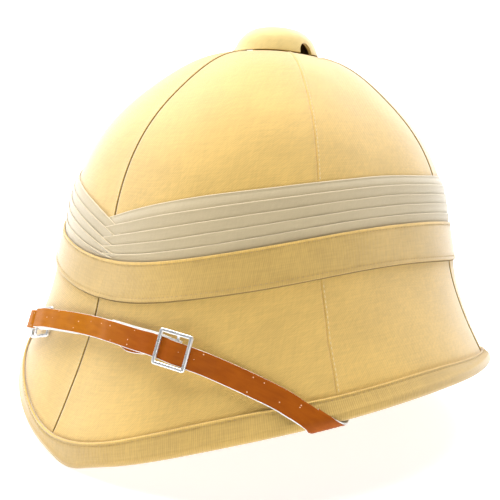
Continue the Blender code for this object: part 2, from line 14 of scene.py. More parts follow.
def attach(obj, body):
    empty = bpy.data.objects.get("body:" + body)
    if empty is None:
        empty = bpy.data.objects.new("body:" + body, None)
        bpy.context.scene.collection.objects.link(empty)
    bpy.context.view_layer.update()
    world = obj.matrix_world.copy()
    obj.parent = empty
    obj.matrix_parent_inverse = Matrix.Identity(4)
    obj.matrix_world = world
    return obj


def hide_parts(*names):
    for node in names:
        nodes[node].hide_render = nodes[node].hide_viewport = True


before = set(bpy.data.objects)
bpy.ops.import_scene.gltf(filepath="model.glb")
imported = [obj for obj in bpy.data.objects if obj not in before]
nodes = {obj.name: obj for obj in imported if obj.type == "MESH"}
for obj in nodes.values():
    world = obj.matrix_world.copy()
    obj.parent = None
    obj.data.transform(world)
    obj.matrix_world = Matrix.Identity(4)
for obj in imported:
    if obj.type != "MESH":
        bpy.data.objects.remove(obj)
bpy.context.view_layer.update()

MM = 0.001
DEGREES = 57.2958                       # in a radian
ORIGIN = np.array((0.0, 5.55, -1.85))   # the frame's origin, in millimetres of the layout
WALL = 4.5                              # the wall's thickness
GAP = 0.3                               # between a strip of cloth and what it lies on
UV_SIZE = 100.0                         # millimetres to one unit of uv
WAVE_SCALE = 0.31416                    # a wave texture's scale for one rib a millimetre

# --- the wall, from the same sizes as the model ---
HEIGHTS = {                        # at 0, 30, ... 180 degrees from the front
    "edge": (0.3, 19.3, 41.2, 50.2, 49.2, 27.6, -2.4),
    "binding": (12.6, 34.0, 54.2, 62.0, 58.2, 39.5, 13.5),
    "band_foot": (87.4, 96.9, 110.7, 115.3, 113.1, 106.8, 102.9),
    "band_head": (109.2, 117.9, 131.4, 136.6, 136.3, 130.0, 125.8),
}
# Middle and half width in degrees, and depth, of the brim's slight point at the front.
FRONT_POINT = {"edge": (3.5, 6.5, 3.4), "binding": (-8.0, 13.0, 2.1)}
PLANS = {                          # front, side and back reach, and the two powers
    "edge": (149.7, 146.3, 161.0, 2.18, 2.12),
    "binding": (148.6, 140.2, 157.5, 2.18, 2.12),
    "crown": (119.6, 109.5, 131.4, 2.77, 2.29),
}
FLARE_POWER = 1.4
BAND_REACH = 22.0
BAND_LEAN = 5.2
LEAN_POWER = 1.38
CROWN_BASE = 111.1
DOME_TOP = 234.0
DOME_FULLNESS = (0.988, 0.993, 1.003, 1.0035, 1.014, 1.022, 1.0)
APEX_BACK = 3.6
VENT_HOLE = 9.0
LIP_ROWS, FLARE_ROWS, BAND_ROWS, DOME_ROWS = 5, 26, 8, 46
BINDING_CLOTH = 1.0
SEAMS = (0.0, 60.0, 120.0, 180.0, 240.0, 300.0)
PANEL = 60.0                       # degrees from one seam to the next


def run_lengths(points):
    """Distances along a line of points from its first."""
    steps = np.linalg.norm(np.diff(points, axis=0), axis=1)
    return np.concatenate([[0], np.cumsum(steps)])


def unit(vectors):
    """A vector, or each row of vectors, at a length of one."""
    return vectors / np.linalg.norm(vectors, axis=-1, keepdims=True)


def eased(share):
    """A share held between 0 and 1, with a soft start and stop."""
    share = min(1.0, max(0.0, share))
    return share * share * (3 - 2 * share)


def hermite(x, xs, ys, slope):
    """A smooth curve through points that have a slope each."""
    i = np.clip(np.searchsorted(xs, x) - 1, 0, len(xs) - 2)
    span = xs[i + 1] - xs[i]
    t = (x - xs[i]) / span
    return ((1 + 2 * t) * (1 - t) ** 2 * ys[i] + t * (1 - t) ** 2 * span * slope[i]
            + t * t * (3 - 2 * t) * ys[i + 1] + t * t * (t - 1) * span * slope[i + 1])


def through_stations(angle, values):
    """A smooth curve through values at equal steps from 0 to 180 degrees, alike both ways."""
    steps = np.radians(np.linspace(0.0, 180.0, len(values)))
    orders = np.arange(len(values))
    weights = np.linalg.solve(np.cos(np.outer(steps, orders)), np.array(values, float))
    return np.cos(np.multiply.outer(np.radians(angle), orders)) @ weights


def point_drop(name, angle):
    """How much lower the front's slight point makes a level line."""
    middle, half_width, drop = FRONT_POINT.get(name, (0.0, 1.0, 0.0))
    away = (angle - middle + 180.0) % 360.0 - 180.0
    return drop * np.exp(-(away / half_width) ** 2)


def height_of(name, angle):
    return through_stations(angle, HEIGHTS[name]) - point_drop(name, angle)


def plan_reach(angle, name):
    front, side, back, front_power, back_power = PLANS[name]
    turn = np.radians(angle)
    ahead, across = np.cos(turn), np.abs(np.sin(turn))
    power = np.where(ahead >= 0, front_power, back_power)
    length = np.where(ahead >= 0, front, back)
    return ((np.abs(ahead) / length) ** power + (across / side) ** power) ** (-1 / power)


LIFT = np.linspace(0.0, 90.0, 361)
FULL = through_stations(2 * LIFT, DOME_FULLNESS)
SHARE = FULL * np.cos(np.radians(LIFT))
DOME_Z = CROWN_BASE + (DOME_TOP - CROWN_BASE) * FULL * np.sin(np.radians(LIFT))


def wall_middle(angle):
    """The middle of the wall at one angle, as (radius, height), from the edge to the hole."""
    half = WALL / 2
    over = half + GAP + BINDING_CLOTH
    edge = np.array([plan_reach(angle, "edge") - over, height_of("edge", angle) + over])
    face = np.array([plan_reach(angle, "binding"), height_of("binding", angle)]) - edge
    reach = np.sqrt(face @ face - over * over)
    slope = (reach * face - over * np.array([face[1], -face[0]])) / (face @ face)
    edge_r, edge_z = edge
    bind_r, bind_z = edge + reach * slope
    crown_r = plan_reach(angle, "crown") - half
    foot_z = height_of("band_foot", angle)
    stop = np.interp(-VENT_HOLE / crown_r, -SHARE, LIFT)
    start = np.interp(foot_z + BAND_REACH, DOME_Z, LIFT)
    lifts = np.linspace(start, stop, DOME_ROWS)
    lip = np.linspace(0.0, 1.0, LIP_ROWS + 1)[:-1]
    flare = np.linspace(1.0, 0.0, FLARE_ROWS + 1)
    lean = np.linspace(0.0, 1.0, BAND_ROWS + 1)[1:-1]
    crown_foot = crown_r * np.interp(foot_z, DOME_Z, SHARE) + BAND_LEAN
    band_z = foot_z + BAND_REACH * lean
    parts = (
        (edge_r + (bind_r - edge_r) * lip, edge_z + (bind_z - edge_z) * lip),
        (crown_foot + (bind_r - crown_foot) * flare ** FLARE_POWER,
         foot_z + (bind_z - foot_z) * flare),
        (crown_r * np.interp(band_z, DOME_Z, SHARE) + BAND_LEAN * (1 - lean) ** LEAN_POWER,
         band_z),
        (crown_r * np.interp(lifts, LIFT, SHARE), np.interp(lifts, LIFT, DOME_Z)),
    )
    return np.concatenate([np.stack(part, 1) for part in parts])


class Section:
    """The wall at one angle: points at a distance from the edge and a height off the wall."""

    def __init__(self, angle):
        self.angle = angle
        self.rows = wall_middle(angle)
        self.length = run_lengths(self.rows)
        slope = unit(np.gradient(self.rows, self.length, axis=0))
        self.normal = np.stack([slope[:, 1], -slope[:, 0]], 1)
        self.head = self.length[LIP_ROWS]

    def at(self, up, off, inside=False):
        middle, normal = (np.array([np.interp(up, self.length, table[:, i]) for i in (0, 1)])
                          for table in (self.rows, self.normal))
        return middle + unit(normal) * (WALL / 2 + off) * (-1 if inside else 1)

    def round_edge(self, turn, off):
        normal = self.normal[0]
        down = np.array([normal[1], -normal[0]])
        reach = WALL / 2 + off
        return self.rows[0] + reach * (normal * sin(radians(turn)) + down * cos(radians(turn)))

    def up_at_height(self, height):
        return np.interp(height, self.rows[:, 1], self.length)

    def place(self, point):
        return on_plan(self.angle, *point)

    def on_face(self, profile, inside=False):
        """Points of a profile of (distance from the edge, height off the wall)."""
        return [self.place(self.at(up, off, inside)) for up, off in profile]

    def on_lip(self, profile):
        """Points of a profile of (degrees round the edge, height off the wall)."""
        return [self.place(self.round_edge(turn, off)) for turn, off in profile]


def on_plan(angle, radius, height):
    """x, y, z in millimetres of points given by angle, radius and height."""
    turn = np.radians(angle)
    back = APEX_BACK * np.clip((height - CROWN_BASE) / (DOME_TOP - CROWN_BASE), 0.0, 1.0)
    return np.stack(np.broadcast_arrays(radius * np.sin(turn), -radius * np.cos(turn) + back,
                                        height), -1)


def ripple(x, y, seed, size):
    """A smooth uneven field of about +-1 with features of a size, in the units of x and y."""
    rng = np.random.default_rng(seed)
    total = 0.0
    for _ in range(9):
        turn, phase = rng.uniform(0, 2 * pi, 2)
        wave = size * rng.uniform(0.7, 1.7)
        total = total + np.sin(2 * pi * (x * cos(turn) + y * sin(turn)) / wave + phase)
    return total / 4.0


# --- meshes ---

def in_frame(points):
    """Points in millimetres brought to metres in the frame."""
    return (np.asarray(points, float) - ORIGIN) * MM


def add_object(name, points, faces, materials):
    """A smooth mesh in the scene, from points in metres."""
    mesh = bpy.data.meshes.new(name)
    mesh.from_pydata(points.tolist(), [], faces)
    for material in materials:
        mesh.materials.append(material)
    mesh.shade_smooth()
    item = bpy.data.objects.new(name, mesh)
    bpy.context.scene.collection.objects.link(item)
    return item


def tube_faces(base, count, width, closed=False):
    """Faces through rings of points counted from a base; joined to a hoop, or capped."""
    faces = []
    for i in range(count if closed else count - 1):
        low, high = base + i * width, base + (i + 1) % count * width
        faces += [(low + k, low + (k + 1) % width, high + (k + 1) % width, high + k)
                  for k in range(width)]
    if not closed:
        last = base + (count - 1) * width
        faces += [tuple(range(base, base + width))[::-1], tuple(range(last, last + width))]
    return faces


def piece(name, rings, uv, materials, ends=False, index=None, ride=True):
    """A closed mesh through rings of points; uv has one more row and column where it wraps.

    ends: the rings are capped at both ends, not joined. index: a material for each point's strip.
    """
    rings = in_frame(rings)
    count, width = rings.shape[:2]
    spans = count - 1 if ends else count
    i, j = np.meshgrid(np.arange(spans), np.arange(width), indexing="ij")
    corners = [(i, j), (i + 1, j), (i + 1, j + 1), (i, j + 1)]
    faces = np.stack([(a % count) * width + b % width for a, b in corners], -1).reshape(-1, 4)
    coords = np.asarray(uv, float)
    if coords.ndim == 3:
        coords = np.stack([coords[a, b] for a, b in corners], 2)
    points = rings.reshape(-1, 3)
    a, b, c, d = (points[faces[:, k]] for k in range(4))
    volume = (np.cross(b - a, c - a) * a).sum() + (np.cross(c - a, d - a) * a).sum()
    faces, coords = faces.tolist(), (coords.reshape(-1, 4, 2) / UV_SIZE).tolist()
    if ends:
        for ring, order in ((0, 1), (count - 1, -1)):
            faces.append(list(range(ring * width, (ring + 1) * width))[::order])
            coords.append([[k / UV_SIZE, 0.0] for k in range(width)])
    if volume < 0:
        faces, coords = ([face[::-1] for face in part] for part in (faces, coords))
    item = add_object(name, points, faces, materials)
    mesh = item.data
    flat = [value for face in coords for spot in face for value in spot]
    mesh.uv_layers.new(name="UVMap").data.foreach_set("uv", np.array(flat, np.float32))
    if index is not None:
        marks = np.broadcast_to(np.asarray(index), (spans, width)).ravel().tolist()
        marks += [marks[0]] * (len(faces) - len(marks))
        mesh.polygons.foreach_set("material_index", np.array(marks, np.int32))
    mesh.update()
    if ride:
        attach(item, "root")
    return item


def lattice(along, across):
    """uv from distances along the rings and across them."""
    u, v = np.meshgrid(along, across, indexing="ij")
    return np.stack([u, v], -1)


def girth(ring, gap):
    """Distances round a ring of points; its last step counts as a gap."""
    lengths = run_lengths(ring)
    return np.append(lengths, lengths[-1] + gap)


def strip_marks(rings, *spans):
    """A material for each strip along rings: spans of (first, stop, material), 0 elsewhere."""
    index = np.zeros((1, rings.shape[1]), int)
    for first, stop, material in spans:
        index[0, first:stop] = material
    return index


def hoop(name, rings, materials, *spans):
    """A strip of cloth round the head, mapped by its own distances."""
    track = rings[:, 8]
    uv = lattice(run_lengths(np.vstack([track, track[:1]])), girth(rings[0], 1.0))
    return piece(name, rings, uv, materials, index=strip_marks(rings, *spans))


def stitches(name, runs, material, thick, sink):
    """Thread stitches: each run is (start points, end points, outward directions)."""
    points, faces = [], []
    sides = 6
    profile = ((0.0, 0.12), (0.12, 0.75), (0.32, 1.0), (0.68, 1.0), (0.88, 0.75), (1.0, 0.12))
    for starts, ends, outs in runs:
        for a, b, out in zip(starts, ends, outs):
            ahead = b - a
            out = unit(out - ahead * (out @ ahead) / (ahead @ ahead))
            side = unit(np.cross(ahead, out))
            faces += tube_faces(len(points), len(profile), sides)
            for share, fat in profile:
                middle = a + ahead * share + out * (thick * 0.5 * sin(pi * share) - sink)
                for k in range(sides):
                    t = 2 * pi * k / sides
                    points.append(middle + thick / 2 * fat * (side * cos(t) + out * sin(t)))
    item = add_object(name, in_frame(points), faces, [material])
    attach(item, "root")


def stitch_run(line, outs, pitch, share):
    """Starts, ends and outward directions of stitches at a pitch along a line of points."""
    line, outs = np.asarray(line), np.asarray(outs)
    length = run_lengths(line)
    count = max(1, int(length[-1] // pitch))
    begins = np.arange(count) * length[-1] / count

    def along(values, places):
        return np.stack([np.interp(places, length, values[:, i]) for i in range(3)], -1)

    return along(line, begins), along(line, begins + pitch * share), along(outs, begins)


# --- materials ---

class Graph:
    """A material's nodes, made and linked in one line each."""

    def __init__(self, name, **sockets):
        self.material = bpy.data.materials.new(name)
        self.material.use_nodes = True
        self.tree = self.material.node_tree
        self.shader = self.tree.nodes["Principled BSDF"]
        for socket, value in sockets.items():
            self.shader.inputs[socket.replace("_", " ")].default_value = value

    def put(self, socket, value):
        if isinstance(value, bpy.types.NodeSocket):
            self.tree.links.new(value, socket)
        else:
            socket.default_value = value

    def add(self, kind, inputs=None, **settings):
        node = self.tree.nodes.new("ShaderNode" + kind)
        for key, value in settings.items():
            setattr(node, key, value)
        for key, value in (inputs or {}).items():
            self.put(node.inputs[key], value)
        return node

    def math(self, operation, a, b, clamp=False):
        return self.add("Math", {0: a, 1: b}, operation=operation, use_clamp=clamp).outputs[0]

    def total(self, *parts):
        """The sum of sockets, each times its share."""
        result = None
        for socket, share in parts:
            part = self.math("MULTIPLY", socket, share)
            result = part if result is None else self.math("ADD", result, part)
        return result

    def millimetres(self, turn=0.0, scale=(1.0, 1.0)):
        """The surface's own coordinates in millimetres, turned and then scaled."""
        uv = self.add("UVMap", uv_map="UVMap").outputs[0]
        turned = self.add("Mapping", {0: uv, 2: (0.0, 0.0, radians(turn)), 3: (UV_SIZE,) * 3})
        if scale == (1.0, 1.0):
            return turned.outputs[0]
        return self.add("Mapping", {0: turned.outputs[0], 3: (*scale, 1.0)}).outputs[0]

    def noise(self, scale, detail=3.0, roughness=0.55, turn=0.0, stretch=(1.0, 1.0), at=None):
        """Noise over the surface in millimetres, or over other coordinates."""
        vector = self.millimetres(turn, stretch) if at is None else at
        return self.add("TexNoise", {"Vector": vector, "Scale": scale, "Detail": detail,
                                     "Roughness": roughness}).outputs[0]

    def waves(self, vector, pitch, distortion, axis="X"):
        """Ribs at a pitch in millimetres across an axis."""
        node = self.add("TexWave", {"Vector": vector, "Scale": WAVE_SCALE / pitch,
                                    "Distortion": distortion, "Detail": 1.0,
                                    "Detail Scale": 1.5},
                        wave_type="BANDS", bands_direction=axis)
        return node.outputs["Fac"]

    def ramp(self, factor, dark, light, low=0.3, high=0.7):
        node = self.add("ValToRGB", {0: factor})
        for element, place, color in zip(node.color_ramp.elements, (low, high), (dark, light)):
            element.position = place
            element.color = (*color, 1.0)
        return node.outputs[0]

    def mix(self, factor, a, b):
        node = self.add("Mix", data_type="RGBA", blend_type="MIX")
        for socket, value in ((0, factor), (6, a), (7, b)):
            self.put(node.inputs[socket], (*value, 1.0) if isinstance(value, tuple) else value)
        return node.outputs[2]

    def color(self, socket):
        self.put(self.shader.inputs["Base Color"], socket)

    def rough(self, base, part, share):
        """Roughness from a base and a share of a socket."""
        value = self.math("ADD", self.math("MULTIPLY", part, share), base)
        self.put(self.shader.inputs["Roughness"], value)

    def bump(self, height, depth):
        """Relief whose full height is a depth in millimetres."""
        node = self.add("Bump", {"Height": height, "Distance": depth * MM, "Strength": 1.0})
        self.put(self.shader.inputs["Normal"], node.outputs[0])


def cloth(name, color, twill=1.1, turn=45.0, mottle=0.10, rough=0.9, sheen=0.8, relief=0.09):
    """Woven cotton: twill ribs across a turn, yarns, thick and thin threads, faint mottling."""
    g = Graph(name, Roughness=rough, Sheen_Weight=sheen, Sheen_Roughness=0.45,
              Specular_IOR_Level=0.25)
    ribs = g.waves(g.millimetres(turn), twill, 0.6)
    yarns = g.waves(g.millimetres(), twill * 0.55, 0.5, axis="Y")
    slub_a = g.noise(0.9, 2.0, stretch=(0.07, 1.1))
    slub_b = g.noise(0.9, 2.0, stretch=(1.1, 0.07))
    streak = g.noise(1.0, 3.0, 0.6, turn, (0.75, 0.16))
    blotch = g.noise(0.028)
    fine = g.noise(1.6, 2.0)
    total = g.total((slub_a, 0.5), (slub_b, 0.35), (streak, 0.6), (blotch, 0.7), (ribs, 0.25))
    shade = g.math("SUBTRACT", total, 0.9, clamp=True)
    dark = tuple(c * (1 - 1.6 * mottle) for c in color)
    light = tuple(min(1.0, c * (1 + mottle)) for c in color)
    g.color(g.ramp(shade, dark, light, 0.05, 0.55))
    g.bump(g.total((ribs, 0.6), (yarns, 0.3), (fine, 0.6)), relief)
    return g.material


def leather_material():
    """Smooth tan strap leather with pores, faint creases and pale specks, with painted light:
    lighter on the wearer's right and darker on the left.
    """
    g = Graph("strap_leather_face", Roughness=0.5, Specular_IOR_Level=0.10)
    flow = g.noise(1.0, 4.0, stretch=(0.10, 0.35))
    pores = g.noise(2.2, 3.0, 0.6)
    creases = g.noise(1.0, stretch=(1.2, 0.18))
    cells = g.add("TexVoronoi", {"Vector": g.millimetres(), "Scale": 0.30})
    picked = g.math("GREATER_THAN", g.add("SeparateColor", {0: cells.outputs[1]}).outputs[0],
                    0.62)
    near = g.math("LESS_THAN", cells.outputs[0], 0.105)
    speck = g.math("MULTIPLY", g.math("MULTIPLY", picked, near), 0.75)
    # Painted light and shade: the strap is lighter where x is below 0 and darker past 45 mm, for
    # the key light's side.
    painted_light_side = g.ramp(flow, (0.365, 0.110, 0.002), (0.46, 0.150, 0.004))
    painted_shade_side = g.ramp(flow, (0.26, 0.054, 0.002), (0.335, 0.078, 0.003))
    across = g.add("SeparateXYZ", {0: g.add("TexCoord").outputs["Object"]}).outputs[0]
    across = g.math("MAXIMUM", g.math("MULTIPLY", across, 22.0), 0.0)
    base = g.mix(g.math("MINIMUM", across, 1.0), painted_light_side, painted_shade_side)
    worn = g.mix(g.math("MULTIPLY", pores, 0.12), base, (0.52, 0.17, 0.015))
    g.color(g.mix(speck, worn, (0.95, 0.68, 0.42)))
    g.rough(0.38, pores, 0.22)
    g.bump(g.total((pores, 0.6), (creases, 0.5)), 0.10)
    return g.material


def suede_material():
    """The strap's pale split back and cut edges, with a short nap."""
    g = Graph("strap_suede_back", Roughness=0.95, Sheen_Weight=0.2)
    nap = g.noise(1.8, 4.0, 0.7)
    fibres = g.noise(1.0, stretch=(0.25, 2.2))
    mixed = g.total((nap, 0.5), (fibres, 0.5))
    g.color(g.ramp(mixed, (0.70, 0.70, 0.69), (0.90, 0.90, 0.88)))
    g.bump(mixed, 0.2)
    return g.material


def nickel_material():
    """Bright nickel plate with polishing marks and a little haze."""
    g = Graph("slide_nickel_plate", Roughness=0.16, Metallic=0.72)
    place = g.add("TexCoord").outputs["Object"]
    haze = g.noise(240.0, at=place)
    marks = g.add("Mapping", {0: place, 2: (0.6, 0.3, 0.9), 3: (900.0, 9000.0, 3000.0)})
    lines = g.noise(1.0, 2.0, at=marks.outputs[0])
    g.color(g.ramp(haze, (0.74, 0.75, 0.76), (0.86, 0.86, 0.85)))
    g.rough(0.20, haze, 0.16)
    g.bump(g.math("ADD", lines, haze), 0.012)
    return g.material


def thread_material(name, color):
    """Twisted sewing thread."""
    g = Graph(name, Roughness=0.8, Sheen_Weight=0.2)
    fuzz = g.noise(2600.0, 2.0, at=g.add("TexCoord").outputs["Object"])
    g.color(g.ramp(fuzz, tuple(c * 0.72 for c in color), color))
    g.bump(fuzz, 0.05)
    return g.material


KHAKI = (0.655, 0.43, 0.120)
khaki = cloth("khaki_twill", KHAKI)
khaki_bias = cloth("khaki_twill_bias", tuple(0.82 * c for c in KHAKI), turn=8.0)
# Painted shade: a dark khaki put in the seam grooves, along the band's lower hem and on the
# button's hem line and hollow, where shadow falls.
khaki_painted_shade = cloth("painted_shade_khaki", tuple(0.33 * c for c in KHAKI), sheen=0.1)
# Painted highlight: a lighter khaki on the tops of the binding's and band's beads, for the light
# they catch.
khaki_painted_highlight = cloth("painted_highlight_khaki", tuple(1.08 * c for c in KHAKI), turn=8.0)
# Painted light: the button's cloth is lighter than the cover to make up for the shade its round
# shape takes.
khaki_button_painted_light = cloth("khaki_button_cloth", (0.73, 0.545, 0.20))
lining = cloth("lining_cotton", (0.60, 0.46, 0.25), twill=0.8, turn=0.0, mottle=0.05)
pugaree = cloth("pugaree_cotton", (0.505, 0.412, 0.25), twill=0.7, turn=30.0, mottle=0.04,
                rough=0.85, relief=0.06)
# Painted highlight: a lighter cloth along each pleat's rounded upper edge, for the light it
# catches.
pugaree_painted_highlight = cloth("painted_highlight_pugaree", (0.68, 0.56, 0.355), twill=0.7, turn=30.0,
                     mottle=0.04, rough=0.85, relief=0.03)
leather = leather_material()
suede = suede_material()
nickel = nickel_material()
thread = thread_material("pale_thread", (0.86, 0.70, 0.38))
hem_thread = thread_material("khaki_thread", (0.50, 0.33, 0.11))


# --- crown and brim ---

WALL_STEP = 0.75
WALL_ANGLES = np.arange(0.0, 360.5, WALL_STEP)
WALL_SECTIONS = [Section(a) for a in WALL_ANGLES]
WALL_R, WALL_Z = np.moveaxis(np.array([s.rows for s in WALL_SECTIONS]), 2, 0)
WALL_NR, WALL_NZ = np.moveaxis(np.array([s.normal for s in WALL_SECTIONS]), 2, 0)
WALL_UP = np.array([s.length for s in WALL_SECTIONS])
WALL_ROWS = WALL_UP.shape[1]
LINING_ROWS = [*range(0, WALL_ROWS - 1, 3), WALL_ROWS - 1]


def on_wall(table, angle, row):
    """A wall table's value at any angles and one row."""
    return np.interp(np.mod(angle, 360.0), WALL_ANGLES, table[:, row])


def off_wall(angle, row, radius, height, reach):
    """Points at a reach along the wall's normals from a radius and a height."""
    return on_plan(angle, radius + on_wall(WALL_NR, angle, row) * reach,
                   height + on_wall(WALL_NZ, angle, row) * reach)


def fold_top(angle):
    """Height of the pleats' upper edge."""
    turned = np.mod(np.asarray(angle, float) + 180.0, 360.0) - 180.0
    edge = [fold_line(float(a), 0, 1 if a >= CROSSING else -1) for a in turned.ravel()]
    return np.reshape(edge, turned.shape)


# Mesh lines beside a seam, and the cloth's height over them, in millimetres.
SEAM_OFFSETS = (-6.0, -4.0, -3.0, -2.2, -1.7, -1.3, -0.9, -0.55, -0.3, -0.05, 0.1, 0.32,
                0.6, 1.3, 3.0, 5.0)
SEAM_RELIEF = ((-6.0, 0.0), (-3.0, 0.12), (-2.2, 0.22), (-1.7, 0.14), (-1.3, 0.26),
               (-0.9, 0.40), (-0.3, 0.46), (-0.05, 0.26), (0.1, -0.50), (0.32, -0.50),
               (0.6, -0.10), (1.3, 0.0), (6.0, 0.0))
LAPPED_BACK = (60.0, 120.0, 300.0)          # seams whose lap faces the other way
# Seams whose groove gets the painted shade cloth, for the shadow in the groove.
SEAMS_WITH_PAINTED_SHADE = (0.0, 120.0, 180.0, 240.0)
SEAM_LEAN = {                      # share of the way up the skirt, degrees
    0.0: ((0.0, -3.1), (0.3, -2.75), (0.6, -2.1), (0.82, -1.3), (0.95, -1.1), (1.3, 0.0)),
    60.0: ((0.0, 2.7), (0.21, 2.4), (0.45, 1.76), (0.7, 1.4), (0.94, 0.6), (1.3, -0.4)),
    120.0: ((0.0, 2.5), (1.3, 1.5)),
}
PUCKER_SEAM = 58.5                 # the seam, in degrees, that the next puckers lie beside
SEAM_PUCKERS = (                   # height, centre, half length and half width, turn
    (0.8, (0.0, 13.6), (6.6, 1.5), -34.0),
    (-0.5, (-3.6, 11.6), (4.2, 1.2), -25.0),
    (0.45, (-9.0, 19.5), (6.5, 2.4), -40.0),
)
FAR_PUCKERS = (                    # the same, with degrees across; the last two are a crease
    (0.30, (118.0, 19.0), (3.5, 2.2), -40.0),
    (0.35, (-57.0, 21.0), (4.0, 2.3), -38.0),
    (0.30, (5.8, 28.5), (12.0, 0.55), 97.5),
    (-0.20, (6.6, 28.5), (12.0, 0.5), 97.5),
)
PANEL_COLUMNS = 24                 # mesh lines between the seams' own
SEAM_CLEAR = 9.0                   # stands for their distance from a seam
SEAMS_CLOSE = 24.0                 # radius inside which a seam's lines draw together
BUTTON_EDGE = 26.0                 # radius inside which the button hides the cover
LIP_TURNS = (60.0, 30.0, 0.0, -30.0, -60.0)      # degrees round the edge, and their uv
LIP_UPS = (-2.0, -3.2, -4.4, -5.6, -6.8)
HOOP_ANGLES = np.arange(0.0, 360.0, 1.25)
BINDING_TOP = GAP + BINDING_CLOTH  # off the wall
BINDING_HEM = 1.9                  # height of the binding's lower fold over the edge
BINDING_LIP = ((78, 0.08), (64, -0.12), (48, -0.05), (30, 0.0), (12, 0.0), (-6, 0.0),
               (-24, 0.0), (-42, 0.0), (-60, 0.0), (-76, 0.0))


def seam_lean(seam, share):
    """Degrees by which a seam strays from its line, by share of the way up the skirt."""
    return float(np.interp(share, *np.array(SEAM_LEAN.get(seam % 360.0, ((0.0, 0.0),))).T))


def lap_side(seam):
    """1 where a seam's lap faces the growing angle, -1 where it faces back."""
    return -1.0 if seam % 360.0 in LAPPED_BACK else 1.0


def seam_at(seam, row):
    """A seam's angle at one row of the wall."""
    return seam + seam_lean(seam, (row - LIP_ROWS) / FLARE_ROWS)


def seam_offsets(seam):
    """Distances from a seam's line of the mesh lines along it, in millimetres."""
    return np.sort(np.array(SEAM_OFFSETS) * lap_side(seam))


def ridge(x, y, place, size, turn):
    """A smooth long mound: centre, half length and half width, turned."""
    dx, dy = x - place[0], y - place[1]
    c, s = cos(radians(turn)), sin(radians(turn))
    along, across = dx * c + dy * s, -dx * s + dy * c
    return np.exp(-(along / size[0]) ** 2 - (across / size[1]) ** 2)


def cloth_relief(angle, up, radius, height):
    """Unevenness of the cover: soft lumps, a few puckers by the brim and one faint crease."""
    turned = (angle + 180.0) % 360.0 - 180.0
    x, y, _ = np.moveaxis(on_plan(angle, radius, height), -1, 0)
    relief = 0.13 * ripple(x + 0.5 * y, height - 0.4 * x, 4, 52.0)
    relief = relief + 0.025 * ripple(x - 0.6 * y, height + 0.5 * y, 9, 17.0)
    beside = np.radians(turned) * radius - np.radians(PUCKER_SEAM) * radius
    for across, ridges in ((beside, SEAM_PUCKERS), (turned, FAR_PUCKERS)):
        for tall, *ridge_shape in ridges:
            relief = relief + tall * ridge(across, up, *ridge_shape)
    return relief


def cover_angles():
    """Angles of the cover's mesh lines at each row of the wall."""
    between = np.linspace(0.0, 1.0, PANEL_COLUMNS + 2)[1:-1]
    angles = []
    for row in range(WALL_ROWS):
        line = []
        for seam in SEAMS:
            here, after = seam_at(seam, row), seam_at(seam + PANEL, row)
            radius = on_wall(WALL_R, here, row)
            per = min(1.0, radius / SEAMS_CLOSE) * DEGREES / radius
            lines = here + seam_offsets(seam) * per
            stop = after + seam_offsets(seam + PANEL)[0] * per
            line += [*lines, *(lines[-1] + (stop - lines[-1]) * between)]
        angles.append(line)
    return np.array(angles).T


def cover_outside(angles, seam_height):
    """The cover's outer points from the top to the edge; it lies flat where it is hidden."""
    rows = []
    for row in range(WALL_ROWS - 1, -1, -1):
        a = angles[:, row]
        radius, height, up = (on_wall(table, a, row) for table in (WALL_R, WALL_Z, WALL_UP))
        head = on_wall(WALL_UP, a, LIP_ROWS)
        foot_z, top_z = height_of("band_foot", a), fold_top(a)
        shown = np.clip((up - head - 0.5) / 2.0, 0, 1) * np.clip((foot_z + 1 - height) / 2, 0, 1)
        shown = np.maximum(shown, np.clip((height - top_z + 2.0) / 2.0, 0, 1))
        shown *= np.clip((radius - BUTTON_EDGE) / 4.0, 0, 1)
        relief = (seam_height + cloth_relief(a, up, radius, height)) * shown
        rows.append(off_wall(a, row, radius, height, WALL / 2 + relief))
    return np.stack(rows, 1)


def cover_inside(angles):
    """The lining's points from the edge to the top."""
    rows = []
    for row in LINING_ROWS:
        a = angles[:, row]
        radius, height = on_wall(WALL_R, a, row), on_wall(WALL_Z, a, row)
        rows.append(off_wall(a, row, radius, height, -WALL / 2))
    return np.stack(rows, 1)


def cover_uv(angles, middle):
    """Distances across a panel from its middle and up the wall, at each face's corners."""
    profile = [*range(WALL_ROWS - 1, -1, -1), *[0] * len(LIP_TURNS), *LINING_ROWS, WALL_ROWS - 1]
    ups = np.concatenate([WALL_UP[0][::-1], LIP_UPS, -8 - WALL_UP[0][LINING_ROWS]])
    ups = np.append(ups, ups[-1] - 5.0)
    turns = np.vstack([angles[:, profile], angles[:1, profile] + 360.0])
    radius = np.stack([on_wall(WALL_R, angles[:, row], row) for row in profile], 1)
    radius = np.vstack([radius, radius[:1]])
    count, width = len(angles), len(profile) - 1
    uv = np.zeros((count, width, 4, 2))
    for k, (di, dj) in enumerate(((0, 0), (1, 0), (1, 1), (0, 1))):
        part = (slice(di, di + count), slice(dj, dj + width))
        uv[..., k, 0] = np.radians(turns[part] - middle[:, None]) * radius[part]
        uv[..., k, 1] = ups[part[1]]
    return uv


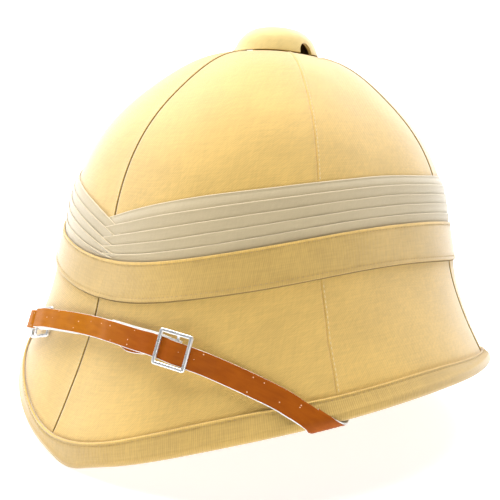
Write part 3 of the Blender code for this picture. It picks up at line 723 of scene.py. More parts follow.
def build_cover():
    """Crown and brim: six sewn panels outside, plain lining inside."""
    angles = cover_angles()
    seams = np.repeat(SEAMS, len(SEAM_OFFSETS) + PANEL_COLUMNS)
    sides = np.array([lap_side(seam) for seam in seams])
    offsets = np.concatenate([[*seam_offsets(seam), *[SEAM_CLEAR] * PANEL_COLUMNS]
                              for seam in SEAMS])
    seam_height = np.interp(offsets * sides, *np.array(SEAM_RELIEF).T)
    lip = [Section(a).on_lip((turn, 0.0) for turn in LIP_TURNS) for a in angles[:, 0]]
    rings = np.concatenate([cover_outside(angles, seam_height), lip, cover_inside(angles)], 1)
    middle = seams + PANEL / 2 - np.where(offsets < -0.02 * sides, PANEL, 0.0)
    groove = np.where(sides > 0, (offsets > -0.1) & (offsets < 0.3),
                      (offsets < -0.05) & (offsets > -0.5))
    index = np.zeros(rings.shape[:2], int)
    # Painted shade in the groove of these seams.
    index[groove & np.isin(seams, SEAMS_WITH_PAINTED_SHADE)] = 2
    index[:, WALL_ROWS - 1 - LIP_ROWS:] = 0
    index[:, WALL_ROWS + len(LIP_TURNS) - 1:] = 1
    item = piece("helmet_cover", rings, cover_uv(angles, middle), [khaki, lining, khaki_painted_shade],
                 index=index)
    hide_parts("shell")


def wall_line(up_of, off):
    """Points and outward directions along a level line round the wall."""
    sections = [Section(a) for a in np.arange(0.0, 361.0, 1.5)]
    line, above = (np.array([s.place(s.at(up_of(s), rise)) for s in sections])
                   for rise in (off, off + 1.0))
    return line, above - line


def build_seam_stitches():
    """The row of topstitching beside each panel seam."""
    runs = []
    for seam in SEAMS:
        beside = 0.6 if seam == 0.0 else 0.8
        ledge = float(np.interp(-beside, *np.array(SEAM_RELIEF).T))
        skirt, dome = [], []
        for row in range(LIP_ROWS + 1, WALL_ROWS):
            here = seam_at(seam, row)
            radius, height = on_wall(WALL_R, here, row), on_wall(WALL_Z, here, row)
            if height < height_of("band_foot", here) - 1.0:
                run = skirt
            elif height > fold_top(here) + 0.5 and radius > BUTTON_EDGE + 0.5:
                run = dome
            else:
                continue
            a = here - lap_side(seam) * beside * DEGREES / radius
            lump = float(cloth_relief(a, on_wall(WALL_UP, a, row), radius, height))
            reach = WALL / 2 + ledge + lump
            point = off_wall(a, row, radius, height, reach)
            run.append((point, off_wall(a, row, radius, height, reach + 1) - point))
        runs += [stitch_run(*zip(*run), pitch=2.6, share=0.6) for run in (skirt, dome)
                 if len(run) > 2]
    stitches("seam_stitches", runs, thread, thick=0.40, sink=0.06)


def binding_ring(a):
    """Points round the binding at one angle."""
    top = BINDING_TOP
    s = Section(a)
    head = s.head
    sway, slow, pull = (share * ripple(a * 2.6, 0.0, seed, size) for share, seed, size in
                        ((0.10, 31, 17.0), (0.08, 5, 60.0), (0.07, 77, 9.0)))
    sway += slow
    low = BINDING_HEM
    rest = head - 2.2 - low
    profile = (
        (head + 0.45, 0.28), (head + 0.52, top + 0.1), (head + 0.32, top + 0.4),
        (head, top + 0.5), (head - 0.35, top + 0.38), (head - 0.75, top + 0.08),
        (head - 1.15, top - 0.1 + pull), (head - 1.5, top - 0.12 + pull),
        (head - 2.2, top + 0.04 + pull), (low + 0.88 * rest, top + 0.12),
        (low + 0.66 * rest, top + sway), (low + 0.45 * rest, top - sway),
        (low + 0.25 * rest, top + sway * 0.5),
        (low, top + 0.05), (1.1, top + 0.14), (0.45, top + 0.3), (0.0, top + 0.26),
    )
    ring = s.on_face((max(up, 0.0), off) for up, off in profile)
    ring += s.on_lip((turn, top + extra) for turn, extra in BINDING_LIP)
    ring += s.on_face([(head * share, top) for share in (0.0, 0.33, 0.66)]
                      + [(head - 0.5, top), (head, top - 0.3), (head, GAP),
                         (head * 0.5, GAP), (0.0, GAP)], inside=True)
    ring += s.on_lip((turn, GAP) for turn in (-60, -20, 20, 60))
    ring += s.on_face([(0.0, GAP), (head * 0.5, GAP), (head, GAP)])
    return ring


def build_binding():
    """The folded cloth strip round the brim's edge, with its bead and crisp lower edge."""
    rings = np.array([binding_ring(a) for a in HOOP_ANGLES])
    rings[..., 2] = np.maximum(rings[..., 2], ORIGIN[2])
    # Strips 1 to 3, the top of the bead, carry a painted highlight.
    item = hoop("brim_edging", rings, [khaki_bias, khaki_painted_highlight], (1, 4, 1))
    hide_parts("brim_binding")
    line = wall_line(lambda s: s.head - 1.35, BINDING_TOP - 0.08)
    run = stitch_run(*line, pitch=3.1, share=0.5)
    stitches("brim_edging_stitches", [run], hem_thread, thick=0.34, sink=0.04)


# --- band and pleats ---

FOLD_COUNT = 5
FOLD_LIFT = 1.5                    # off the wall at a pleat's upper edge
TOP_FOLD_LIFT = 0.4
FOLD_BASE = GAP - 0.1              # and at its lower edge
FOLD_TOP = 164.0
CROSSING = 1.5                     # degrees; where the pleats cross
CROSSING_HEIGHTS = {               # of each pleat's upper edge there, by side
    1: (134.3, 128.6, 122.7, 117.5, 112.9),
    -1: (129.0, 123.7, 117.6, 113.4, 110.9),
}
# Degrees from the crossing at which each pleat runs level again.
CROSSING_FADE = {1: (99.0, 99.0, 99.0, 99.0, 99.0), -1: (82.0, 77.0, 66.0, 58.0, 60.0)}


def band_ring(a):
    """Points round the band at one angle."""
    s = Section(a)
    foot = s.up_at_height(height_of("band_foot", a))
    head = s.up_at_height(height_of("band_head", a))
    pull, pull2, soft, wave, wave2 = (
        share * ripple(a * 2.1, 0.0, seed, size) for share, seed, size in
        ((0.09, 12, 8.0), (0.09, 18, 9.0), (0.14, 25, 34.0), (0.25, 40, 70.0),
         (0.22, 44, 80.0)))
    size = head - foot
    low, high = foot + wave2, head + wave
    return s.on_face((
        (low - 0.65, 0.12), (low - 0.55, 0.40), (low - 0.02, 0.5), (low, 1.2),
        (low + 0.15, 1.5), (low + 0.6, 1.68),
        (foot + 1.5, 1.46 + pull), (foot + 2.2, 1.30 + pull), (foot + 3.0, 1.52 + pull * 0.6),
        (foot + 0.24 * size, 1.70 + soft), (foot + 0.42 * size, 1.92 - soft * 0.5),
        (foot + 0.6 * size, 2.14 + soft * 0.7), (foot + 0.78 * size, 2.34 - soft * 0.4),
        (head - 3.2, 2.50 + pull2 * 0.6), (head - 2.3, 2.30 + pull2),
        (head - 1.6, 2.44 + pull2), (high - 0.7, 2.78), (high - 0.15, 2.66),
        (high, 2.3), (high - 0.05, 1.75),
        (head - 0.6, FOLD_LIFT), ((foot + head) / 2, FOLD_LIFT / 2 + 0.05),
        (foot + 0.4, GAP + 0.12),
    ))


def build_band():
    """The plain band, hemmed and topstitched along both edges."""
    rings = np.array([band_ring(a) for a in HOOP_ANGLES])
    # The band's lowest strips carry painted shade for the shadow under its lower hem, and its top
    # bead a painted highlight.
    item = hoop("band_cloth", rings, [khaki_bias, khaki_painted_shade, khaki_painted_highlight], (0, 3, 1),
                (15, 18, 2))
    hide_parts("hat_band")
    runs = []
    for level, beside, off in (("band_foot", 2.0, 1.36), ("band_head", -2.2, 2.36)):
        line = wall_line(lambda s: s.up_at_height(height_of(level, s.angle)) + beside, off)
        runs.append(stitch_run(*line, pitch=2.8, share=0.55))
    stitches("band_stitches", runs, hem_thread, thick=0.36, sink=0.04)


def fold_line(angle, number, side):
    """Height of the upper edge of a fold; number 0 is the top one and 5 the band's edge."""
    share = number / FOLD_COUNT
    foot = height_of("band_head", angle)
    if number == FOLD_COUNT:
        return foot
    foot_there = height_of("band_head", CROSSING)
    level_there = FOLD_TOP + (foot_there - FOLD_TOP) * share
    drop = level_there - CROSSING_HEIGHTS[side][number]
    away = min(1.0, abs(angle - CROSSING) / CROSSING_FADE[side][number])
    back = max(0.0, abs(angle) - 115.0) / 65.0
    top = FOLD_TOP - 12.0 * back * back
    return top + (foot - top) * share - drop * (1 - away) ** 2


def fold_edge(turn, number):
    """The fold's upper edge anywhere along its run, carried straight on past the crossing."""
    side, angle = (1, turn) if turn <= 180.0 else (-1, turn - 360.0)
    if (angle - CROSSING) * side >= 0:
        return fold_line(angle, number, side)
    there = fold_line(CROSSING, number, side)
    slope = (fold_line(CROSSING + side, number, side) - there) * side
    return there + slope * (angle - CROSSING)


def fold_ring(a, number):
    """Points round a pleat at an angle along its run."""
    s = Section(a if a <= 360.0 else a - 360.0)
    edge = fold_edge(a, number)
    head = s.up_at_height(edge)
    foot = s.up_at_height(min(fold_edge(a, number + 1), edge - 1.5))
    head += 0.08 * ripple(a * 2.0, 0.0, 50 + number, 40.0)
    rise = 0.06 * ripple(a * 2.0, 0.0, 60 + number, 26.0)
    foot -= 0.30 * (head - foot)
    if number:
        lift = FOLD_LIFT
        sunk = eased((-1.9 - a) / 1.8) + eased((a - 361.2) / 1.5)
    else:
        lift = TOP_FOLD_LIFT
        sunk = 0.7 * eased((6.0 - a) / 6.0)
        rise += 0.35 * eased((a - 348.0) / 10.0)
    slack = max(head - foot, 1.5)
    base, top = FOLD_BASE, lift + rise
    profile = (
        (foot, base + 0.55), (foot + 0.12 * slack, base + 0.95),
        (foot + 0.28 * slack, base + 1.2),
        (foot + 0.5 * slack, base + 0.93 + 0.28 * lift + rise * 0.6),
        (foot + 0.75 * slack, base + 0.63 + 0.58 * lift + rise),
        (head - 1.3, top + 0.32), (head - 0.8, top + 0.48), (head - 0.45, top + 0.55),
        (head - 0.08, top + 0.44), (head, top + 0.26), (head - 0.12, top + 0.04),
        (head - 0.6, top - 0.1),
        (foot + 0.5 * slack, base + 0.1 + 0.26 * lift), (foot, base),
    )
    return s.on_face((up, max(off - sunk * (off - 0.1) / 2.2, 0.05)) for up, off in profile)


def build_folds():
    """Five pleats, each lapping the one above, crossing over one another at the front."""
    full = 360.0 + CROSSING
    fine = 12.0                        # degrees of closer rings at each end
    turns = np.concatenate([np.arange(CROSSING - 6.0, CROSSING + fine, 0.4),
                            np.arange(CROSSING + fine, full - fine, 1.5),
                            np.arange(full - fine, full + 4.01, 0.4)])
    for number in range(FOLD_COUNT):
        rings = np.array([fold_ring(a, number) for a in turns])
        uv = lattice(run_lengths(rings[:, 4]) + number * 37.0,
                     girth(rings[60], 0.5) + number * 11.0)
        # Strips 7 and 8, the top of each pleat's upper edge, carry the painted highlight.
        item = piece(f"pleat_{number + 1}", rings, uv, [pugaree, pugaree_painted_highlight], ends=True,
                     index=strip_marks(rings, (7, 9, 1)))
        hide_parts(f"pugaree_fold_{number + 1}")


# --- button ---

# Radius and height of the button's outline, and half width and height of a vent.
BUTTON_ROWS = ((27.4, 0.0), (26.7, 2.2), (25.6, 5.0), (22.6, 10.3), (15.4, 15.5), (8.0, 17.2),
               (0.0, 17.6))
BUTTON_VENT = (5.2, 7.0)
BUTTON_TURNS = np.linspace(0.0, 360.0, 97)[:-1]


def crown_height(x, y):
    """Height of the crown's outer face over a point near the top."""
    angle = np.degrees(np.arctan2(x, -(y - APEX_BACK)))
    s = WALL_SECTIONS[int(round((angle % 360.0) / WALL_STEP))]
    face = s.rows + s.normal * WALL / 2
    order = np.argsort(face[:, 0])
    return float(np.interp(np.hypot(x, y - APEX_BACK), face[order, 0], face[order, 1]))


def button_rings(base):
    """Rings of the button with its hem at a height, and where their inner side starts."""
    table = np.array(BUTTON_ROWS)
    lengths = run_lengths(table)
    places = np.linspace(0.0, lengths[-1] - 0.6, 34)
    slope = np.gradient(table, lengths, axis=0)
    slope[-1, 1] = 0.0                 # level at the middle of the top
    radius, height = (hermite(places, lengths, table[:, i], slope[:, i]) for i in (0, 1))
    outer = list(zip(radius, height))
    inner = [(max(r - 2.0, 0.3), max(z - 1.2, 0.0)) for r, z in outer][::-1]
    outer[:2] = [(radius[0] - 0.25, 0.0), (radius[0] - 0.12, 0.45), (radius[1] + 0.12, height[1])]
    rings = []
    for turn in BUTTON_TURNS:
        ring = []
        for r, z in outer + inner[::2]:
            if z < 3.0:                # the hem stands out a little at one side
                r += 1.7 * (1 - z / 3.0) ** 2 * max(0.0, cos(radians(turn + 45.0))) ** 2
            x, y = r * sin(radians(turn)), APEX_BACK - r * cos(radians(turn))
            rest = (crown_height(x, y) + GAP - base) * (1 - z / 5.0) if z < 5.0 else 0.0
            lump = 0.09 * ripple(x, y + z, 21, 12.0) if z > 3.0 else 0.0
            ring.append((x * (1 + lump / 26), y, base + z + rest + lump * 0.6))
        rings.append(ring)
    return np.array(rings), len(outer)


def cut_vents(item, base):
    """Cuts an arched vent out of each side of the button."""
    half_width, tall = BUTTON_VENT
    arch = [(half_width * cos(t), tall * sin(t)) for t in np.linspace(0, pi, 25)]
    arch += [(-half_width, -6.0), (half_width, -6.0)]
    for xs in ((17.0, 34.0), (-34.0, -17.0)):
        cut = [[(x, APEX_BACK + y, base + z) for y, z in arch] for x in xs]
        cutter = piece("vent_cutter", cut, np.zeros((2, 28, 2)), [khaki_button_painted_light], ends=True,
                       ride=False)
        modifier = item.modifiers.new("vent", "BOOLEAN")
        modifier.operation = "DIFFERENCE"
        modifier.object = cutter
        bpy.context.view_layer.update()
        graph = bpy.context.evaluated_depsgraph_get()
        new = bpy.data.meshes.new_from_object(item.evaluated_get(graph))
        item.modifiers.clear()
        item.data = new
        bpy.data.objects.remove(cutter)


def build_button():
    """The cloth-covered button: hollow, with a turned hem and an arched vent each side."""
    base = crown_height(BUTTON_ROWS[0][0], APEX_BACK) + GAP
    rings, inner_start = button_rings(base)
    along = np.append(np.radians(BUTTON_TURNS), 2 * pi) * 24.0
    # Painted shade: the button's bottom strip is a thin dark line for the shadow under its hem,
    # and its inner side is dark for the shade in the hollow seen through the vents.
    item = piece("button_cloth", rings, lattice(along, girth(rings[0], 1.0)),
                 [khaki_button_painted_light, khaki_painted_shade], ride=False,
                 index=strip_marks(rings, (0, 1, 1), (inner_start, None, 1)))
    cut_vents(item, base)
    item.data.set_sharp_from_angle(angle=radians(50.0))
    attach(item, "root")
    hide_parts("ventilator_button")


# --- chin strap ---

STRAP_WIDTH = 11.6
LEATHER = 1.2
STRAP_OFF = 2.0                    # off the wall at the strap's ground, for the binding
STRAP_ROUTE = (                    # angle, distance from the edge's underside
    (-80.0, -58.0), (-71.0, -33.0), (-62.0, -12.0), (-56.5, 0.0), (-52.0, 8.4),
    (-45.0, 20.6), (-35.0, 39.0), (-26.3, 53.6), (-14.9, 69.4), (-0.8, 79.1),
    (9.8, 77.4), (18.0, 71.0), (27.5, 60.0), (33.0, 52.1), (40.4, 40.4), (45.5, 31.7),
    (51.7, 20.2), (55.6, 11.2), (59.8, 0.6), (65.0, -13.0), (72.0, -32.0), (81.0, -58.0),
)
# The slides' places, their shifts across the strap, and their turns in degrees.
SLIDE_ANGLE = {"left": 28.6, "right": -24.8}
SLIDE_ASIDE = {"left": 1.1, "right": -2.7}
SLIDE_SWING = {"left": 3.5, "right": 6.0}       # turn in its own plane, degrees
SLIDE_TILT = {"left": 0.0, "right": 11.0}       # and outwards at its free end
SLIDE_LENGTH = 19.8
SLIDE_ROOM = 1.7
SLIDE_BAR = 2.0
SLIDE_HEIGHT = 1.7
SLIDE_FLAT = 10.4                  # the ground is flat this far from a slide's middle
SLIDE_EASE = 12.0                  # and follows the wall again after this much more
STACK = 6.4                        # height of both straps and a slide together
LAYERS = {"low": 0.9, "mid": 2.4, "under_bar": 3.9, "over_centre": 5.3}
LOOP_RADIUS = 1.45
LOOP_SHIFT = 0.4
INNER_TAIL = 46.0
OUTER_TAIL = 50.0
EDGE_HALF = pi / 2 * (WALL / 2 + STRAP_OFF + GAP + LEATHER / 2)
SLIDE_HALF_WIDE = STRAP_WIDTH / 2 + SLIDE_ROOM + SLIDE_BAR / 2
SLIDE_HALF_LONG = (SLIDE_LENGTH - SLIDE_BAR) / 2
SLIDE_LEVEL = LAYERS["under_bar"] + LEATHER / 2 + GAP + 1.2 - SLIDE_HEIGHT / 2
SLIDE_CORNER = 0.6


def skin(angle, along, off):
    """A point on the strap's ground: `along` from the edge's underside, `off` above it."""
    section = Section(angle)
    off = off + STRAP_OFF
    if along > EDGE_HALF:
        up = along - EDGE_HALF + point_drop("edge", angle)
        return section.place(section.at(up, off))
    if along < -EDGE_HALF:
        return section.place(section.at(-along - EDGE_HALF, off, inside=True))
    return section.place(section.round_edge(90.0 * along / EDGE_HALF, off))


class Route:
    """The strap's centre line on the skin, measured by its own length."""

    def __init__(self):
        xs, ys = np.array(STRAP_ROUTE).T
        self.angles = np.linspace(xs[0], xs[-1], 331)
        self.alongs = hermite(self.angles, xs, ys, np.gradient(ys, xs))
        self.length = run_lengths([skin(a, d, 0.0) for a, d in zip(self.angles, self.alongs)])
        self.end = float(self.length[-1])
        self.flats = []
        self.slides = {side: float(np.interp(angle, self.angles, self.length))
                       for side, angle in SLIDE_ANGLE.items()}
        self.flats = [(length, self.frame(length)) for length in self.slides.values()]

    def length_at_edge(self, side):
        pick = self.angles * side > 30.0
        return float(self.length[np.argmin(np.where(pick, np.abs(self.alongs), 1e9))])

    def centre(self, length):
        return np.array([np.interp(length, self.length, table)
                         for table in (self.angles, self.alongs)])

    def across(self, length):
        """The step in angle and distance that goes one millimetre across the strap."""
        a, d = self.centre(length)
        turn, rise = self.centre(length + 0.5) - self.centre(length - 0.5)
        origin = skin(a, d, 0.0)
        per_angle = (skin(a + 0.2, d, 0.0) - origin) / 0.2
        per_along = (skin(a, d + 0.3, 0.0) - origin) / 0.3
        ahead = per_angle * turn + per_along * rise
        step = np.array([-(ahead @ per_along), ahead @ per_angle])
        return step / np.linalg.norm(per_angle * step[0] + per_along * step[1])

    def place(self, length, side, off):
        """A point beside and off the centre line; the ground is flat under the slides."""
        point = skin(*(self.centre(length) + side * self.across(length)), off)
        for slide, (origin, ahead, across, out) in self.flats:
            share = eased((abs(length - slide) - SLIDE_FLAT) / SLIDE_EASE)
            flat = origin + (length - slide) * ahead + side * across + off * out
            point = flat * (1 - share) + point * share
        return point

    def frame(self, length):
        origin = self.place(length, 0.0, 0.0)
        ahead = unit(self.place(length + 2.0, 0.0, 0.0) - self.place(length - 2.0, 0.0, 0.0))
        across = self.place(length, 2.0, 0.0) - self.place(length, -2.0, 0.0)
        across = unit(across - ahead * (ahead @ across))
        return origin, ahead, across, np.cross(ahead, across)


def smooth_level(length, table):
    """A table's value at a length, with eased steps between its rows."""
    xs, ys = np.array(table, float).T
    i = int(np.clip(np.searchsorted(xs, length) - 1, 0, len(xs) - 2))
    return float(ys[i] + (ys[i + 1] - ys[i]) * eased((length - xs[i]) / (xs[i + 1] - xs[i])))


def laid(places, levels, drift):
    """Spots of a strap at places along it: length, height and sideways shift."""
    return [(x, smooth_level(x, levels), smooth_level(x, drift)) for x in places]


def strap_lengths(start, stop, edge, slides):
    """Places of the strap's rings: closer round the brim's edge and by the slides."""
    places = [start]
    while places[-1] < stop:
        here = places[-1]
        near_edge = abs(here - edge) < 32.0
        near_slide = any(abs(here - slide) < 12.0 for slide in slides)
        places.append(here + (1.0 if near_edge else 0.9 if near_slide else 2.2))
    return np.append(places[:-1], stop)


def loop_points(length, level, direction, upward, shift):
    """The strap's turn round a slide's centre bar."""
    middle = level + LOOP_RADIUS * upward
    turns = (np.linspace(-90.0, 90.0, 17) * upward)[1:]
    return [(length + direction * (LOOP_SHIFT + LOOP_RADIUS * cos(radians(t))),
             middle + LOOP_RADIUS * sin(radians(t)), shift) for t in turns]


def inner_path(route, slide_in, slide_out):
    """The strap from the right: its run, its loop at the left slide and its tail."""
    low, mid, centre = LAYERS["low"], LAYERS["mid"], LAYERS["over_centre"]
    levels = (
        (0.0, low), (slide_out - 34.0, low), (slide_out - 15.0, 4.9), (slide_out - 9.4, 4.8),
        (slide_out - 1.2, STACK - centre), (slide_out + 1.2, STACK - centre),
        (slide_out + 6.2, STACK - LAYERS["under_bar"]), (slide_out + 22.0, 2.5),
        (slide_out + 36.0, low), (slide_in, low),
    )
    drift = (
        (0.0, 0.0), (slide_out - 45.0, 0.0), (slide_out - 12.0, -1.6), (slide_out + 11.0, -1.6),
        (slide_out + 34.0, -0.3), (slide_in - 39.0, -0.3), (slide_in - 31.0, -2.0),
        (slide_in - 10.0, 0.2), (slide_in, 0.7),
    )
    places = strap_lengths(0.0, slide_in - 0.1, route.length_at_edge(-1), (slide_out, slide_in))
    path = laid(places, levels, drift) + loop_points(slide_in, low, 1, 1, 0.7)
    stop = slide_in - INNER_TAIL
    upper = low + 2 * LOOP_RADIUS
    tail = ((stop, mid), (slide_in - 6.2, mid), (slide_in - 1.0, upper), (slide_in, upper))
    swing = ((stop, 0.6), (slide_in - 12.0, 0.95), (slide_in, 0.7))
    ends = [*np.arange(slide_in - 0.8, slide_in - 8.0, -0.8),
            *np.linspace(slide_in - 9.0, stop, 12)]
    return path + laid(ends, tail, swing)


def outer_path(route, slide_in, slide_out):
    """The strap from the left: its run, its loop at the right slide and its tail."""
    low, mid, under = LAYERS["low"], LAYERS["mid"], LAYERS["under_bar"]
    high, over = STACK - low, LAYERS["over_centre"]
    levels = (
        (slide_out, high), (slide_out + 26.0, high - 0.1), (slide_out + 44.0, 4.2),
        (slide_out + 60.0, mid), (slide_in - INNER_TAIL - 10.0, mid),
        (slide_in - INNER_TAIL, under), (slide_in - 6.2, under), (slide_in - 1.2, over),
        (slide_in + 1.2, over), (slide_in + 6.2, under), (slide_in + 9.0, under),
        (slide_in + 26.0, low), (route.end, low),
    )
    drift = ((slide_out, -0.9), (slide_out + 50.0, -0.1), (slide_in, 0.0))
    places = strap_lengths(slide_out + 0.1, route.end, route.length_at_edge(1),
                           (slide_out, slide_in))[::-1]
    path = laid(places, levels, drift) + loop_points(slide_out, high, -1, -1, -0.9)
    stop = slide_out + OUTER_TAIL
    lower = high - 2 * LOOP_RADIUS
    tail = ((slide_out, lower), (slide_out + 1.0, lower), (slide_out + 6.2, STACK - mid),
            (slide_out + 18.0, STACK - mid), (stop, mid - 0.2))
    swing = ((slide_out, -0.9), (slide_out + 7.0, -1.6), (slide_out + 22.0, -1.3),
             (slide_out + 40.0, -0.9), (stop, -0.6))
    ends = [*np.arange(slide_out + 0.8, slide_out + 8.0, 0.8),
            *np.linspace(slide_out + 9.0, stop, 15)]
    return path + laid(ends, tail, swing)


STRAP_PROFILE = (          # share of the width, share of the thickness from the middle
    (-0.5, 0.10), (-0.492, 0.36), (-0.47, 0.48), (-0.42, 0.52), (-0.2, 0.5), (0.0, 0.5),
    (0.2, 0.5), (0.42, 0.52), (0.47, 0.48), (0.492, 0.36), (0.5, 0.10), (0.5, -0.42),
    (0.47, -0.5), (0.2, -0.5), (-0.2, -0.5), (-0.47, -0.5), (-0.5, -0.42),
)
STRAP_FACE = [1, 1] + [0] * 7 + [1] * 8    # leather on top, pale cut edges and back


def build_strap(name, route, path, node, outer_side):
    """A leather strip along a path of (length, height, sideways shift)."""
    path = np.array(path)
    slope = unit(np.gradient(path[:, :2], axis=0))
    normal = np.stack([-slope[:, 1], slope[:, 0]], 1) * outer_side
    rings = []
    for spot, out in zip(path, normal):
        ring = []
        for share, rise in STRAP_PROFILE:
            length, height = spot[:2] + out * rise * LEATHER
            ring.append(route.place(length, share * STRAP_WIDTH + spot[2], height))
        rings.append(ring)
    rings = np.array(rings)
    along = run_lengths(rings[:, 5]) + (40.0 if outer_side < 0 else 0.0)
    item = piece(name, rings, lattice(along, girth(rings[0], 0.2)), [leather, suede],
                 ends=True, index=np.array(STRAP_FACE)[None, :])
    item.data.set_sharp_from_angle(angle=radians(55.0))
    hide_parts(node)


def bar_profile(width, height, count=12):
    """Outline of a bar with well rounded corners."""
    turns = [2 * pi * (k + 0.5) / count for k in range(count)]
    return [(copysign(width / 2 * abs(cos(t)) ** 0.5, cos(t)),
             copysign(height / 2 * abs(sin(t)) ** 0.5, sin(t))) for t in turns]


def slide_frame():
    """Rings of a slide's outer frame with its four rounded corners."""
    rings = []
    for sx, sy, first in ((1, 1, 0), (-1, 1, 90), (-1, -1, 180), (1, -1, 270)):
        for turn in np.radians(first + np.linspace(0.0, 90.0, 5)):
            x = sx * (SLIDE_HALF_LONG - SLIDE_CORNER) + SLIDE_CORNER * cos(turn)
            y = sy * (SLIDE_HALF_WIDE - SLIDE_CORNER) + SLIDE_CORNER * sin(turn)
            rings.append([(x + w * cos(turn), y + w * sin(turn), SLIDE_LEVEL + h)
                          for w, h in bar_profile(SLIDE_BAR, SLIDE_HEIGHT)])
    return rings


def slide_centre():
    """Rings of a slide's centre bar, lower than the frame, with a leg up to it at each end."""
    low, side = LAYERS["low"] + LOOP_RADIUS, -SLIDE_HALF_WIDE
    half = ((side, SLIDE_LEVEL, 90.0), (side, low + 1.0, 90.0), (side + 0.3, low + 0.3, 45.0),
            (side + 1.0, low, 0.0))
    whole = half + tuple((-y, z, -t) for y, z, t in half[::-1])
    return [[(w, y + h * sin(radians(t)), z + h * cos(radians(t)))
             for w, h in bar_profile(1.6, 1.0)] for y, z, t in whole]


def build_slide(name, route, side):
    """A three-bar slide: a rounded frame over the strap and a centre bar inside its loop."""
    origin, ahead, across, out = route.frame(route.slides[side])
    swing, tilt = radians(SLIDE_SWING[side]), radians(SLIDE_TILT[side])
    points, faces = [], []
    for rings, closed in ((slide_frame(), True), (slide_centre(), False)):
        faces += tube_faces(len(points), len(rings), len(rings[0]), closed)
        for x, y, z in (spot for ring in rings for spot in ring):
            length, aside = x * cos(swing) - y * sin(swing), x * sin(swing) + y * cos(swing)
            height = (STACK - z if side == "right" else z) - length * sin(tilt)
            points.append(origin + length * ahead + (aside + SLIDE_ASIDE[side]) * across
                          + height * out)
    item = add_object(name, in_frame(points), faces, [nickel])
    shape = bmesh.new()
    shape.from_mesh(item.data)
    bmesh.ops.recalc_face_normals(shape, faces=shape.faces)
    shape.to_mesh(item.data)
    shape.free()
    item.data.set_sharp_from_angle(angle=radians(60.0))
    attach(item, "root")
    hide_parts(f"slide_{side}")


def build_straps():
    """Both leather straps, both slides, and the plain keepers inside the brim."""
    route = Route()
    left, right = route.slides["left"], route.slides["right"]
    build_strap("strap_from_right", route, inner_path(route, left, right),
                "chin_strap_inner", 1)
    build_strap("strap_from_left", route, outer_path(route, left, right),
                "chin_strap_outer", -1)
    build_slide("buckle_left", route, "left")
    build_slide("buckle_right", route, "right")
    for name in ("strap_keeper_left", "strap_keeper_right"):
        materials = nodes[name].data.materials
        materials.clear()
        materials.append(nickel)


# --- floor, camera and lights ---

CAMERA_TURN, CAMERA_PITCH, CAMERA_ROLL = 45.92, 7.32, 3.29      # degrees
CAMERA_SPOT = (0.3698, -0.37295, 0.17715)
CAMERA_FOCUS = 790.74 / 500.0      # focal length as a share of the picture's width
SENSOR_WIDTH = 36.0
FLOOR_GLOW = 0.76
WORLD_FRONT = (0.7, -0.7, 0.1)     # the side the room is dimmest on
WORLD_BRIGHT, WORLD_DIM = 0.10, 0.03
MIDDLE = (0.0, 0.0, 0.13)
LIGHTS = (                         # name, place, target, size, power
    ("key_softbox", (-0.77, -0.51, 1.5), MIDDLE, (1.1, 1.1), 28.0),
    ("top_softbox", (0.0, 0.15, 1.7), MIDDLE, (1.3, 1.3), 40.0),
    ("back_softbox", (0.75, 1.05, 0.8), MIDDLE, (1.2, 1.2), 1.2),
    ("low_fill", (0.80, -0.80, 0.28), (0.0, 0.0, 0.05), (1.2, 0.6), 1.7),
)


def build_stage():
    """A plain pale floor that rises into a backdrop behind the helmet."""
    g = Graph("pale_floor", Roughness=0.95, Specular_IOR_Level=0.1,
              Emission_Color=(1.0, 1.0, 1.0, 1.0), Emission_Strength=FLOOR_GLOW)
    grain = g.noise(0.02, 2.0)
    g.color(g.ramp(grain, (0.68, 0.68, 0.68), (0.70, 0.70, 0.70)))
    yaw = radians(CAMERA_TURN)
    ahead = np.array((-sin(yaw), cos(yaw)))
    side = np.array((cos(yaw), sin(yaw)))
    profile = [(-3.0, 0.0), (0.9, 0.0)]
    profile += [(0.9 + 0.9 * sin(t), 0.9 - 0.9 * cos(t)) for t in np.linspace(0.1, pi / 2, 14)]
    profile += [(1.8, 3.5)]
    points = np.array([(*(ahead * reach + side * across), height)
                       for reach, height in profile for across in (-5.0, 5.0)])
    faces = [(2 * i, 2 * i + 1, 2 * i + 3, 2 * i + 2) for i in range(len(profile) - 1)]
    floor = add_object("floor", points, faces, [g.material])
    layer = floor.data.uv_layers.new(name="UVMap")
    for loop in floor.data.loops:
        x, y, z = points[loop.vertex_index]
        layer.data[loop.index].uv = (x * 10, y * 10 + z * 10)


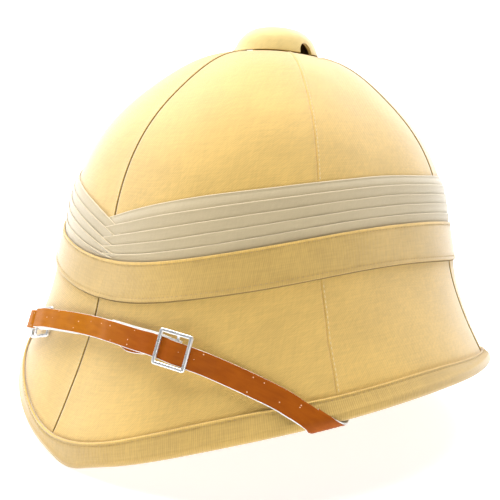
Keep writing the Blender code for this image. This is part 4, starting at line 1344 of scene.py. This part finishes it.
def add_light(name, spot, target, size, power):
    """A soft rectangular light at a spot, turned to a target."""
    light = bpy.data.lights.new(name, "AREA")
    light.shape = "RECTANGLE"
    light.size, light.size_y = size
    light.energy = power
    item = bpy.data.objects.new(name, light)
    bpy.context.scene.collection.objects.link(item)
    item.location = spot
    item.rotation_euler = (Vector(target) - Vector(spot)).to_track_quat("-Z", "Y").to_euler()


def build_camera():
    """The camera where the photograph was taken from."""
    camera = bpy.data.objects.new("camera", bpy.data.cameras.new("camera"))
    bpy.context.scene.collection.objects.link(camera)
    camera.data.sensor_fit = "HORIZONTAL"
    camera.data.sensor_width = SENSOR_WIDTH
    camera.data.lens = CAMERA_FOCUS * SENSOR_WIDTH
    camera.data.clip_start = 0.01
    turn = (Matrix.Rotation(radians(CAMERA_TURN), 4, "Z")
            @ Matrix.Rotation(radians(90.0 - CAMERA_PITCH), 4, "X")
            @ Matrix.Rotation(radians(CAMERA_ROLL), 4, "Z"))
    camera.matrix_world = Matrix.Translation(CAMERA_SPOT) @ turn
    bpy.context.scene.camera = camera


def build_studio():
    """A pale room, dimmest before the helmet, and four soft lights."""
    world = bpy.data.worlds.new("studio")
    world.use_nodes = True
    tree = world.node_tree
    place = tree.nodes.new("ShaderNodeTexCoord").outputs["Generated"]
    dot = tree.nodes.new("ShaderNodeVectorMath")
    dot.operation = "DOT_PRODUCT"
    dot.inputs[1].default_value = WORLD_FRONT
    tree.links.new(place, dot.inputs[0])
    ramp = tree.nodes.new("ShaderNodeMapRange")
    ramp.interpolation_type = "SMOOTHSTEP"
    for socket, value in ((1, -0.35), (2, 0.95), (3, WORLD_BRIGHT), (4, WORLD_DIM)):
        ramp.inputs[socket].default_value = value
    tree.links.new(dot.outputs["Value"], ramp.inputs[0])
    background = tree.nodes["Background"]
    tree.links.new(ramp.outputs[0], background.inputs[1])
    background.inputs[0].default_value = (1.0, 1.0, 1.0, 1.0)
    bpy.context.scene.world = world
    bpy.context.scene.view_settings.view_transform = "Standard"
    for light in LIGHTS:
        add_light(*light)


build_cover()
build_seam_stitches()
build_binding()
build_band()
build_folds()
build_button()
build_straps()
build_stage()
build_camera()
build_studio()
